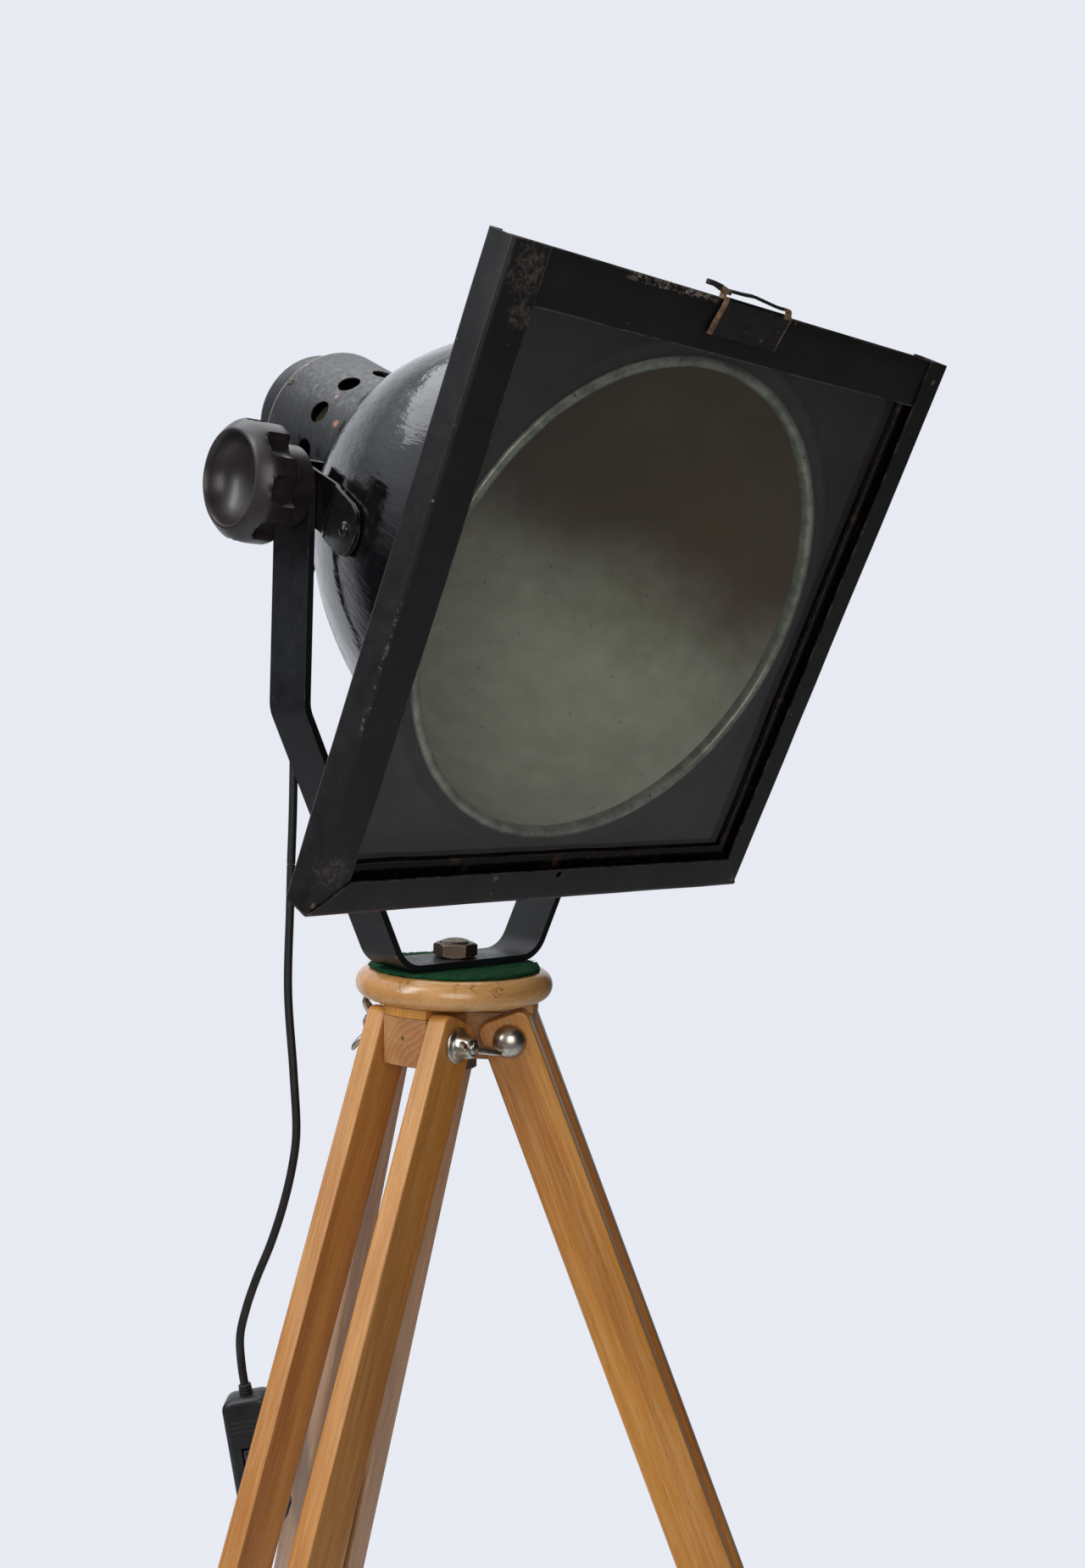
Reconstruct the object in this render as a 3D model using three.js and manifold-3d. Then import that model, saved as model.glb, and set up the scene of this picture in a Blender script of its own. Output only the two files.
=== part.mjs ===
// Square-fronted floodlight in a strap yoke, bolted to a wooden tripod, with its mains lead.
// Millimetres, +Z up, the lamp faces -Y and tilts about X. The feet stand on Z = 0 and the
// origin is under the middle of the object's box, the lead left out.
import * as THREE from 'three';
import { mergeVertices } from 'three/addons/utils/BufferGeometryUtils.js';
import Module from 'manifold-3d';

const wasm = await Module();
wasm.setup();

// ---- driving dimensions ----
const GAP = 0.3; // clearance between touching pieces
const RAD = Math.PI / 180;

const TOP_HEIGHT = 1080; // top of the felt pad above the floor
const TILT = 25; // lamp axis below the horizontal, degrees
const PIVOT_HEIGHT = 328; // tilt axis above the felt pad

// Positions along the lamp axis are called w: forward of the tilt axis is positive.
const FRONT = 200; // front face of the square frame
const FRAME_DEPTH = 24;
const HALF_WIDTH = 200;
const HALF_HEIGHT = 205;
const SHEET = 1.5;
const LIP = { left: 27, right: 20, bottom: 23, top: 32 };
const REAR_LIP = 10;
const BACK = FRONT - FRAME_DEPTH;

const BOWL_RADIUS = 164.6;
const BOWL_WALL = 2;
const BOWL_SHOULDER = 140; // where the curve starts, going back
const BOWL_REACH = 250;
const BOWL_POWER = 1.6;
const NECK_FRONT = -88;
const NECK_REAR = -187;
const NECK_RADIUS = 60;
const NECK_WALL = 1.5;
const CAP = { depth: 33, radius: 50 };
const COLLAR = 18; // how far the bowl's collar reaches into the neck
const VENT = { count: 12, radius: 8.8, w: -131 };
const GLAND = { w: -163, boss: 9, length: 38 };
const ROUND = 36; // sides of the large round pieces

const YOKE = { half: 149.5, sheet: 5, width: 41, base: 62, bend: 182 };
const PIVOT_BOLT = 6;
const HOLE_PLAY = 0.4;
const BRACKET = { sheet: 3, width: 34, out: 146.5, back: -12, bend: 36, front: 95 };
const KNOB = { radius: 40, from: 152.5, body: 171, to: 200, hub: 27, lobes: 8, flute: 4.5, dish: 29.5 };

const FELT = { radius: 62, thickness: 3 };
const DISC = { radius: 72, thickness: 21 };
const STUD = 10;
const NUT = { flats: 28, height: 10 };

const LEG_AZIMUTHS = [194, 314, 74];
const SPLAY = 22;
const HINGE_RADIUS = 44;
const HINGE_DROP = 49; // below the felt's top
const TENON = { width: 37.4, reach: 62, from: 24.3, to: 66 };
const RAIL = { width: 38, thickness: 16, length: 700, gap: 38, top: 18, corner: 8 };
const LEG_BOLT = 5;
const WING = { radius: 3.2, length: 20, lean: 62, out: 13.5, up: 17 }; // 51 mm from tip to tip
const SLIDER = { width: 37.2, depth: 26, top: 450, bottom: 1079.5 };
const BAND = { height: 30, wall: 4, from: 668 };
const SHOE = { length: 34, tip: 7 };

const CORD = 7; // lead diameter
const ROCKER_TILT = 6; // either side of level
const COIL = { x: -71.5, y: 108, radii: [28, 49], height: 14 }; // clear of the folding legs
const PLUG = { x: -143, y: 149.5, turn: 40, radius: 18.5 };

// ---- materials ----
const finish = (color, roughness, metalness) =>
  new THREE.MeshStandardMaterial({ color, roughness, metalness });
const blackPaint = finish(0x232326, 0.5, 0.3);
const blackEnamel = finish(0x121214, 0.18, 0.2);
const bakelite = finish(0x453a3c, 0.45, 0);
const rustySteel = finish(0x5a4a3e, 0.6, 0.7);
const darkSteel = finish(0x4a4540, 0.4, 0.9);
const nickel = finish(0xb9b2a4, 0.25, 1);
const glassPane = finish(0xa9b4b0, 0.05, 0);
const bulbGlass = finish(0xe8e6df, 0.3, 0);
const porcelain = finish(0xd8d4c8, 0.3, 0);
const beech = finish(0xc98e45, 0.4, 0);
const felt = finish(0x1e4a30, 0.95, 0);
const rubber = finish(0x151517, 0.6, 0);

// ---- solids ----
function toSolid(geometry) {
  const bare = geometry.index ? geometry.toNonIndexed() : geometry.clone();
  bare.deleteAttribute('normal');
  bare.deleteAttribute('uv');
  const merged = mergeVertices(bare, 1e-4);
  return new wasm.Manifold(new wasm.Mesh({
    numProp: 3,
    vertProperties: merged.attributes.position.array,
    triVerts: new Uint32Array(merged.index.array),
  }));
}

function toGeometry(solid) {
  const mesh = solid.getMesh();
  const geometry = new THREE.BufferGeometry();
  geometry.setAttribute('position', new THREE.BufferAttribute(mesh.vertProperties, 3));
  geometry.setIndex(new THREE.BufferAttribute(mesh.triVerts, 1));
  geometry.computeVertexNormals();
  return geometry;
}

const cut = (base, tools) =>
  toGeometry(tools.reduce((left, tool) => left.subtract(toSolid(tool)), toSolid(base)));
const join = (pieces) =>
  toGeometry(pieces.slice(1).reduce((sum, piece) => sum.add(toSolid(piece)), toSolid(pieces[0])));
const overlap = (a, b) => toGeometry(toSolid(a).intersect(toSolid(b)));

// A box between two corners.
function block(x0, x1, y0, y1, z0, z1) {
  const box = new THREE.BoxGeometry(x1 - x0, y1 - y0, z1 - z0);
  return box.translate((x0 + x1) / 2, (y0 + y1) / 2, (z0 + z1) / 2);
}

// A rod between two heights, standing on Z.
function rod(radius, z0, z1, sides) {
  const cylinder = new THREE.CylinderGeometry(radius, radius, z1 - z0, sides);
  return cylinder.rotateX(Math.PI / 2).translate(0, 0, (z0 + z1) / 2);
}

const alongX = (geometry) => geometry.rotateY(Math.PI / 2);
const alongY = (geometry) => geometry.rotateX(-Math.PI / 2);

// A turned piece standing on Z: [radius, z] pairs, up the outside and down the inside.
function turned(profile, sides, closed = false) {
  const points = profile.map(([r, z]) => new THREE.Vector2(r, z));
  if (closed) points.push(points[0].clone());
  return new THREE.LatheGeometry(points, sides).rotateX(Math.PI / 2);
}

// A piece turned about the lamp axis: [w, radius] pairs, back along the outside first.
function turnedOnLamp(profile, closed = false) {
  const points = profile.map(([w, r]) => new THREE.Vector2(r, -w));
  if (closed) points.push(points[0].clone());
  return new THREE.LatheGeometry(points, ROUND);
}

// A flat plate square to the lamp axis: an outline of [across, up] pairs from w0 to w1.
function plateOnLamp(outline, w0, w1) {
  const shape = new THREE.Shape(outline.map(([u, v]) => new THREE.Vector2(u, v)));
  const plate = new THREE.ExtrudeGeometry(shape, { depth: w1 - w0, bevelEnabled: false });
  return plate.translate(0, 0, w0).rotateX(Math.PI / 2);
}

const rectangle = (u0, u1, v0, v1) => [[u0, v0], [u1, v0], [u1, v1], [u0, v1]];

function add(parent, name, geometry, material) {
  const mesh = new THREE.Mesh(geometry, material);
  mesh.name = name;
  parent.add(mesh);
  return mesh;
}

// ---- square front frame ----
function frontFrame(head) {
  const inner = HALF_WIDTH - SHEET;
  const floor = -HALF_HEIGHT + SHEET;
  const lipBack = FRONT - SHEET;
  const bottomIn = -HALF_HEIGHT + LIP.bottom;
  const slope = (lip) => LIP.bottom / lip; // mitre: rise for each step inwards

  const side = (sign, lip) => {
    const out = sign * HALF_WIDTH;
    const inn = sign * (HALF_WIDTH - lip);
    const corners = [[out, -HALF_HEIGHT], [inn, bottomIn], [inn, HALF_HEIGHT], [out, HALF_HEIGHT]];
    const lipOutline = sign < 0 ? corners : corners.reverse();
    const span = (a, b) => [Math.min(a, b), Math.max(a, b)];
    const [web0, web1] = span(out, sign * inner);
    const [rear0, rear1] = span(out, sign * (HALF_WIDTH - REAR_LIP));
    return join([
      plateOnLamp(lipOutline, lipBack, FRONT),
      plateOnLamp(rectangle(web0, web1, -HALF_HEIGHT, HALF_HEIGHT), BACK, FRONT),
      plateOnLamp(rectangle(rear0, rear1, floor + GAP, HALF_HEIGHT), BACK, BACK + SHEET),
    ]);
  };
  add(head, 'frame_left_channel', side(-1, LIP.left), blackPaint);
  add(head, 'frame_right_channel', side(1, LIP.right), blackPaint);

  const edge = inner - GAP;
  const rise = (lip) => -HALF_HEIGHT + (HALF_WIDTH - edge - GAP) * slope(lip);
  const bottomLip = [
    [-edge, -HALF_HEIGHT], [edge, -HALF_HEIGHT], [edge, rise(LIP.right)],
    [HALF_WIDTH - LIP.right - GAP, bottomIn], [-HALF_WIDTH + LIP.left + GAP, bottomIn],
    [-edge, rise(LIP.left)],
  ];
  const rearEnd = HALF_WIDTH - REAR_LIP - GAP;
  add(head, 'frame_bottom_channel', join([
    plateOnLamp(bottomLip, lipBack, FRONT),
    plateOnLamp(rectangle(-edge, edge, -HALF_HEIGHT, floor), BACK, FRONT),
    plateOnLamp(rectangle(-rearEnd, rearEnd, -HALF_HEIGHT, -HALF_HEIGHT + REAR_LIP),
      BACK, BACK + SHEET),
  ]), blackPaint);
  add(head, 'frame_top_lip',
    plateOnLamp(rectangle(-edge, edge, HALF_HEIGHT - LIP.top, HALF_HEIGHT),
      lipBack - GAP - SHEET, lipBack - GAP), blackPaint);

  const plateAt = BACK + SHEET + GAP;
  const plate = plateOnLamp(rectangle(-edge, edge, floor + GAP, HALF_HEIGHT - 1),
    plateAt, plateAt + SHEET);
  const mouth = new THREE.CylinderGeometry(BOWL_RADIUS + GAP, BOWL_RADIUS + GAP, 40, ROUND);
  add(head, 'face_plate', cut(plate, [mouth.translate(0, -plateAt, 0)]), blackPaint);

  return { inner, floor, plateFront: plateAt + SHEET, lipBack };
}

// ---- pane that slides up out of the frame, and the clip on the top lip ----
function slidingPane(head, frame) {
  const half = frame.inner - 4.5;
  const low = frame.floor + GAP;
  const high = HALF_HEIGHT - 5;
  const opening = { side: 171, low: -173, high: 174 };
  const front = frame.lipBack - SHEET - 2 * GAP - 1.4;
  const ringDepth = 2.5;
  const ring = plateOnLamp(rectangle(-half, half, low, high), front - ringDepth, front);
  const hole = plateOnLamp(rectangle(-opening.side, opening.side, opening.low, opening.high),
    front - ringDepth - 1, front + 1);
  add(head, 'pane_frame', cut(ring, [hole]), rustySteel);
  const glassBack = front - ringDepth - GAP - 3;
  add(head, 'front_glass',
    plateOnLamp(rectangle(-half + 2, half - 2, low + 3, high - 2), glassBack, glassBack + 3),
    glassPane);

  const clip = { left: -35, right: 27, sheet: 1, lean: 5, front: 22, rear: 14 };
  const tab = { reach: 16, root: 4, rise: 8 }; // the finger tab at the clip's left end
  const top = HALF_HEIGHT + GAP;
  const bridge = top + clip.sheet;
  const behind = frame.lipBack - GAP - SHEET - GAP;
  const face = FRONT + GAP;
  const apron = [
    [clip.left - clip.lean, top - clip.front], [clip.right - clip.lean, top - clip.front],
    [clip.right, bridge], [clip.left, bridge],
  ];
  add(head, 'retaining_clip', join([
    plateOnLamp(rectangle(clip.left, clip.right, top, bridge), behind - clip.sheet, face + clip.sheet),
    plateOnLamp(apron, face, face + clip.sheet),
    plateOnLamp(rectangle(clip.left, clip.right, top - clip.rear, bridge), behind - clip.sheet, behind),
    plateOnLamp([
      [clip.left + tab.root, top], [clip.left + tab.root, top + tab.rise / 2],
      [clip.left - tab.reach / 2, top + tab.rise], [clip.left - tab.reach, top + tab.rise],
      [clip.left - tab.reach, top + tab.rise * 0.7], [clip.left - tab.root, top],
    ], behind - clip.sheet, behind),
  ]), rustySteel);
}

// ---- reflector, neck, cap and what the neck holds ----
const bowlRadius = (w) =>
  BOWL_RADIUS * Math.sqrt(1 - Math.max(0, (BOWL_SHOULDER - w) / BOWL_REACH) ** BOWL_POWER);

function reflector(head, frame) {
  const rimBack = frame.plateFront + GAP;
  const rim = { front: rimBack + SHEET, out: BOWL_RADIUS + 4 };
  const rearW = NECK_FRONT + GAP;
  const steps = [BOWL_SHOULDER, 105, 70, 35, 5, -25, -50, -70, rearW];
  const collarOut = NECK_RADIUS - NECK_WALL - GAP;
  const collarRear = NECK_FRONT - COLLAR;
  const outside = steps.map((w) => [w, bowlRadius(w)]);
  const inside = steps.slice(0, -1).map((w) => [w, bowlRadius(w) - BOWL_WALL]).reverse();
  add(head, 'reflector_bowl', turnedOnLamp([
    [rim.front, rim.out], [rimBack, rim.out], [rimBack, BOWL_RADIUS],
    ...outside,
    [rearW, collarOut], [collarRear, collarOut], [collarRear, collarOut - BOWL_WALL],
    [rearW + 4, collarOut - BOWL_WALL],
    ...inside,
    [rim.front, BOWL_RADIUS - BOWL_WALL],
  ], true), blackEnamel);

  const tube = turnedOnLamp([
    [NECK_FRONT, NECK_RADIUS], [NECK_REAR, NECK_RADIUS],
    [NECK_REAR, NECK_RADIUS - NECK_WALL], [NECK_FRONT, NECK_RADIUS - NECK_WALL],
  ], true);
  const vents = [];
  for (let i = 0; i < VENT.count; i += 1) {
    const turn = (360 / VENT.count) * (i + 0.75) * RAD;
    const drill = rod(VENT.radius, NECK_RADIUS - 10, NECK_RADIUS + 10, 10);
    vents.push(drill.translate(0, -VENT.w, 0).applyMatrix4(new THREE.Matrix4().makeRotationY(turn)));
  }
  const glandHole = rod(GLAND.boss - 2, -NECK_RADIUS - 10, -NECK_RADIUS + 10, 12);
  add(head, 'neck_tube', cut(tube, [...vents, glandHole.translate(0, -GLAND.w, 0)]), blackPaint);

  const capRear = NECK_REAR - CAP.depth;
  const capInside = CAP.radius - 3;
  const skirt = { front: NECK_REAR + 8, radius: NECK_RADIUS - NECK_WALL - GAP };
  add(head, 'rear_cap', turnedOnLamp([
    [capRear + SHEET, 0], [capRear + SHEET, capInside - 2], [NECK_REAR, capInside],
    [skirt.front, capInside], [skirt.front, skirt.radius], [NECK_REAR - GAP, skirt.radius],
    [NECK_REAR - GAP, CAP.radius], [capRear + 4, CAP.radius - 0.6],
    [capRear + 1, CAP.radius - 3], [capRear, CAP.radius - 7], [capRear, 0],
  ]), blackPaint);
}

// ---- lampholder and bulb on the lamp axis ----
function lightSource(head) {
  const plate = { w: NECK_REAR + 8 + GAP, sheet: 2 };
  add(head, 'lampholder_bracket',
    plateOnLamp(rectangle(-52, 52, -12, 12), plate.w, plate.w + plate.sheet), rustySteel);
  const holder = plate.w + plate.sheet + GAP;
  add(head, 'lampholder', turnedOnLamp([
    [holder + 55, 0], [holder + 55, 17], [holder + 50, 21], [holder + 14, 21],
    [holder + 8, 26], [holder, 26], [holder, 0],
  ]), porcelain);
  const base = holder + 55 + GAP;
  add(head, 'bulb', turnedOnLamp([
    [base + 92, 0], [base + 89, 14], [base + 80, 25], [base + 65, 30], [base + 48, 27],
    [base + 26, 16], [base + 10, 13.2], [base, 13.2], [base, 0],
  ]), bulbGlass);
}

// ---- cable gland and strain relief under the neck's rear end ----
function gland(head) {
  const top = -NECK_RADIUS - GAP;
  const relief = turned([
    [0, top - GLAND.length], [CORD / 2 + 1, top - GLAND.length], [CORD / 2 + 2.6, top - 10],
    [GLAND.boss, top - 9], [GLAND.boss, top], [0, top],
  ], 16);
  add(head, 'cord_gland', relief.translate(0, -GLAND.w, 0), rubber);
}

// ---- pivot brackets, bolts and knobs ----
function starKnob(sign) {
  const shape = new THREE.Shape();
  const steps = KNOB.lobes * 5;
  for (let i = 0; i < steps; i += 1) {
    const turn = (i / steps) * 2 * Math.PI;
    const dip = ((1 - Math.cos(turn * KNOB.lobes)) / 2) ** 2;
    const r = KNOB.radius - KNOB.flute * dip;
    const method = i === 0 ? 'moveTo' : 'lineTo';
    shape[method](r * Math.cos(turn), r * Math.sin(turn));
  }
  shape.closePath();
  const edge = 3;
  const length = KNOB.to - KNOB.from;
  const back = KNOB.body - KNOB.from;
  const grip = new THREE.ExtrudeGeometry(shape, {
    depth: length - back - 2 * edge, bevelThickness: edge, bevelSize: edge, bevelOffset: -edge,
    bevelSegments: 1,
  });
  grip.translate(0, 0, back + edge);
  const body = join([grip, rod(KNOB.hub, 0, back + 4, 28)]);
  const dish = turned([
    [0, length - 10], [KNOB.dish * 0.5, length - 8.5], [KNOB.dish, length + 0.1],
    [KNOB.dish, length + 5], [0, length + 5],
  ], 24);
  const bore = rod(PIVOT_BOLT + HOLE_PLAY, -1, length - 14, 12);
  const knob = alongX(cut(body, [dish, bore])).translate(KNOB.from, 0, 0);
  return sign > 0 ? knob : knob.rotateZ(Math.PI);
}

// A strap from the tilt axis forward onto the bowl; its rear end is turned in to the bowl.
function pivotStrap(w) {
  const half = BRACKET.width / 2;
  const inner = BRACKET.out - BRACKET.sheet;
  const onBowl = [46, 58, 70, 82, BRACKET.front].map((at) => [bowlRadius(at) + 1.5, at]);
  const foot = bowlRadius(BRACKET.back) + 1.5;
  const rear = BRACKET.back + BRACKET.sheet;
  const line = [
    [foot, BRACKET.back], [BRACKET.out, BRACKET.back],
    ...[[inner, BRACKET.bend], ...onBowl].map(([x, at]) => [x + BRACKET.sheet, at]),
    ...[[inner, BRACKET.bend], ...onBowl].reverse(),
    [inner, rear], [foot, rear],
  ];
  const shape = new THREE.Shape(line.map(([x, at]) => new THREE.Vector2(x, w(at))));
  const strap = new THREE.ExtrudeGeometry(shape, { depth: BRACKET.width, bevelEnabled: false });
  strap.translate(0, 0, -half);
  const nose = rod(half, 100, 200, 24).rotateY(Math.PI / 2);
  const front = w(BRACKET.front - half);
  const back = w(BRACKET.back - 1);
  const keep = join([
    nose.translate(0, front, 0),
    block(100, 200, Math.min(front, back), Math.max(front, back), -half, half),
  ]);
  return overlap(strap, keep);
}

function tiltHardware(head) {
  for (const [side, sign] of [['left', -1], ['right', 1]]) {
    const turnRound = (geometry) => (sign > 0 ? geometry : geometry.rotateZ(Math.PI));
    const w = (value) => -value * sign; // the turn about Z swaps front and back too
    const span = (a, b) => [Math.min(w(a), w(b)), Math.max(w(a), w(b))];
    const bored = alongX(rod(PIVOT_BOLT + HOLE_PLAY, BRACKET.out - 8, BRACKET.out + 8, 12));
    add(head, `pivot_bracket_${side}`, turnRound(cut(pivotStrap(w), [bored])), blackPaint);

    const headAt = BRACKET.out - BRACKET.sheet - GAP;
    const bolt = join([
      rod(PIVOT_BOLT, headAt - 3, KNOB.to - 15, 12),
      rod(8, headAt - 5, headAt, 16),
    ]);
    add(head, `pivot_bolt_${side}`, turnRound(alongX(bolt)), darkSteel);
    add(head, `tilt_knob_${side}`, starKnob(sign), bakelite);
  }
}

// ---- yoke ----
function yoke(group) {
  const { half, sheet, width, base, bend } = YOKE;
  const top = PIVOT_HEIGHT + width / 2;
  const out = half + sheet / 2;
  const inn = half - sheet / 2;
  const soft = 9; // how far each bend is rounded off
  const outer = [
    [-out, top], [-out, bend + soft], [-out + soft * 0.5, bend - soft * 0.8],
    [-base - soft * 0.9, soft * 1.6], [-base + soft, 0],
  ];
  const inner = [
    [-inn, top], [-inn, bend + soft], [-inn + soft * 0.5, bend - soft * 0.6],
    [-base - soft * 0.1, soft * 1.4 + sheet], [-base + soft + sheet * 0.6, sheet],
  ];
  const mirrored = (points) => points.map(([x, z]) => [-x, z]);
  const outline = [
    ...outer, ...mirrored(outer).reverse(), ...mirrored(inner), ...[...inner].reverse(),
  ];
  const shape = new THREE.Shape(outline.map(([x, z]) => new THREE.Vector2(x, z)));
  const strap = new THREE.ExtrudeGeometry(shape, { depth: width, bevelEnabled: false });
  strap.rotateX(Math.PI / 2).translate(0, width / 2, 0);

  const rounded = new THREE.Shape();
  rounded.moveTo(-width, -1);
  rounded.lineTo(width, -1);
  rounded.lineTo(width, bend);
  rounded.lineTo(width / 2, bend);
  rounded.lineTo(width / 2, PIVOT_HEIGHT);
  rounded.absarc(0, PIVOT_HEIGHT, width / 2, 0, Math.PI, false);
  rounded.lineTo(-width / 2, bend);
  rounded.lineTo(-width, bend);
  const keep = new THREE.ExtrudeGeometry(rounded, { depth: 400, bevelEnabled: false, curveSegments: 12 });
  keep.rotateX(Math.PI / 2).rotateZ(Math.PI / 2).translate(-200, 0, 0);

  const pivotHole = alongX(rod(PIVOT_BOLT + HOLE_PLAY, -200, 200, 12)).translate(0, 0, PIVOT_HEIGHT);
  const studHole = rod(STUD + HOLE_PLAY, -5, 15, 16);
  const body = overlap(strap, keep);
  add(group, 'yoke', cut(body, [pivotHole, studHole]), blackPaint);
}

// ---- tripod top ----
function tripodTop(group) {
  const feltBottom = -FELT.thickness;
  add(group, 'felt_pad', cut(rod(FELT.radius, feltBottom, -GAP, 32), [rod(STUD + HOLE_PLAY, -9, 9, 16)]),
    felt);
  const top = feltBottom - GAP;
  const low = top - DISC.thickness;
  const mid = (top + low) / 2;
  const bulge = [];
  for (let i = -3; i <= 3; i += 1) {
    const turn = (i / 3) * 80 * RAD;
    const r = DISC.radius - (DISC.thickness / 2) * (1 - Math.cos(turn));
    bulge.push([r, mid + (DISC.thickness / 2) * Math.sin(turn)]);
  }
  const disc = turned([[0, low], ...bulge, [0, top]], 40);
  const stud = rod(STUD + HOLE_PLAY, -TENON.to - 5, 5, 16);
  add(group, 'head_disc', cut(disc, [stud]), beech);

  const tenonTop = low - GAP;
  const arms = LEG_AZIMUTHS.map((azimuth) => {
    const arm = block(-5, TENON.reach, -TENON.width / 2, TENON.width / 2, -TENON.to, tenonTop);
    const bolt = alongY(rod(LEG_BOLT + HOLE_PLAY, -30, 30, 12)).translate(HINGE_RADIUS, 0, -HINGE_DROP);
    return cut(arm, [bolt]).rotateZ(azimuth * RAD);
  });
  add(group, 'head_block', cut(join(arms), [stud]), beech);

  const nutBottom = YOKE.sheet + GAP;
  add(group, 'centre_bolt', join([
    rod(STUD, -TENON.to - 4, nutBottom + NUT.height + 3, 16),
    turned([[0, -TENON.to - 9], [18, -TENON.to - 9], [18, -TENON.to - GAP], [0, -TENON.to - GAP]], 16),
  ]), darkSteel);
  const nutRadius = NUT.flats / 2 / Math.cos(30 * RAD);
  add(group, 'yoke_nut', cut(rod(nutRadius, nutBottom, nutBottom + NUT.height, 6),
    [rod(STUD + HOLE_PLAY, 0, 30, 16)]), darkSteel);
}

// ---- one leg: two rails that hold a sliding lower leg, with its hinge bolt and wing nut ----
function rail(sign) {
  const half = RAIL.width / 2;
  const shape = new THREE.Shape();
  shape.moveTo(-half, -RAIL.length);
  shape.lineTo(half, -RAIL.length);
  shape.lineTo(half, RAIL.top - RAIL.corner);
  shape.absarc(half - RAIL.corner, RAIL.top - RAIL.corner, RAIL.corner, 0, Math.PI / 2, false);
  shape.absarc(RAIL.corner - half, RAIL.top - RAIL.corner, RAIL.corner, Math.PI / 2, Math.PI, false);
  const board = new THREE.ExtrudeGeometry(shape, {
    depth: RAIL.thickness, bevelEnabled: false, curveSegments: 5,
  });
  board.rotateX(Math.PI / 2);
  const centre = (RAIL.gap + RAIL.thickness) / 2;
  board.translate(0, sign * centre + RAIL.thickness / 2, 0);
  const hole = alongY(rod(LEG_BOLT + HOLE_PLAY, -60, 60, 12));
  return cut(board, [hole]);
}

function wingNut(bore) {
  const hub = turned([[0, 0], [12.5, 0], [12.5, 2.5], [9.5, 4], [7.5, 12], [6.5, 15], [0, 15]], 14);
  const wing = (sign) => {
    const arm = new THREE.CapsuleGeometry(WING.radius, WING.length, 3, 8);
    return arm.rotateZ(-sign * WING.lean * RAD).translate(sign * WING.out, 0, 0)
      .rotateX(Math.PI / 2).translate(0, 0, WING.up);
  };
  return cut(join([hub, wing(-1), wing(1)]), [rod(bore, -1, 20, 12)]);
}

function leg(parent, number, azimuth) {
  const hinge = new THREE.Group();
  hinge.position.set(
    HINGE_RADIUS * Math.cos(azimuth * RAD), HINGE_RADIUS * Math.sin(azimuth * RAD), -HINGE_DROP);
  hinge.rotation.set(0, -SPLAY * RAD, azimuth * RAD, 'ZYX');
  parent.add(hinge);
  const level = new THREE.Group(); // the bolt and its wing nut don't lean with the leg
  level.position.copy(hinge.position);
  level.rotation.set(0, 0, azimuth * RAD);
  parent.add(level);

  add(hinge, `leg_${number}_rail_left`, rail(-1), beech);
  add(hinge, `leg_${number}_rail_right`, rail(1), beech);

  const outer = RAIL.gap / 2 + RAIL.thickness + GAP;
  const bolt = join([
    rod(LEG_BOLT, -outer - 1, outer + 17, 12),
    turned([
      [0, -outer - 8], [7, -outer - 6.8], [11, -outer - 3.5], [12.5, -outer], [0, -outer],
    ], 16),
  ]);
  add(level, `leg_${number}_hinge_bolt`, alongY(bolt), nickel);
  const nut = alongY(wingNut(LEG_BOLT + HOLE_PLAY)).translate(0, outer, 0);
  add(level, `leg_${number}_wing_nut`, nut, nickel);

  const w = SLIDER.width / 2;
  const d = SLIDER.depth / 2;
  add(hinge, `leg_${number}_slider`, block(-d, d, -w, w, -SLIDER.bottom, -SLIDER.top), beech);

  const ringX = RAIL.width / 2 + GAP;
  const ringY = RAIL.gap / 2 + RAIL.thickness + GAP;
  const bandTop = -BAND.from;
  const bandLow = bandTop - BAND.height;
  const outside = block(-ringX - BAND.wall, ringX + BAND.wall, -ringY - BAND.wall,
    ringY + BAND.wall, bandLow, bandTop);
  const inside = block(-ringX, ringX, -ringY, ringY, bandLow - 1, bandTop + 1);
  const screwMid = (bandTop + bandLow) / 2;
  const screwHole = alongX(rod(4.4, ringX - 5, ringX + 10, 10)).translate(0, 0, screwMid);
  add(hinge, `leg_${number}_clamp_band`, cut(cut(outside, [inside]), [screwHole]), darkSteel);
  const screw = join([
    rod(4, d + GAP, ringX + 22, 10),
    rod(8, ringX + BAND.wall + 6, ringX + BAND.wall + 14, 12),
    block(-2.5, 2.5, -20, 20, ringX + BAND.wall + 9, ringX + BAND.wall + 21),
  ]);
  add(hinge, `leg_${number}_clamp_screw`, alongX(screw).translate(0, 0, screwMid), nickel);

  const shoeTop = -SLIDER.bottom - GAP;
  const tip = shoeTop - SHOE.length;
  const shoe = turned([
    [0, tip], [SHOE.tip * 0.7, tip + 1], [SHOE.tip, tip + SHOE.tip * 0.8],
    [SHOE.tip + 3, shoeTop - 14], [15, shoeTop - 8], [15, shoeTop], [0, shoeTop],
  ], 16);
  const floor = block(-60, 60, -60, 60, -20, 0); // trims the tip level with the floor
  const down = new THREE.Matrix4().makeRotationY(SPLAY * RAD);
  const shift = new THREE.Matrix4().makeTranslation(0, 0, HINGE_DROP - TOP_HEIGHT);
  const away = new THREE.Matrix4().makeTranslation(
    -Math.sin(SPLAY * RAD) * tip, 0, 0);
  floor.applyMatrix4(away).applyMatrix4(shift).applyMatrix4(down);
  add(hinge, `leg_${number}_shoe`, cut(shoe, [floor]), darkSteel);
  return hinge;
}

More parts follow.
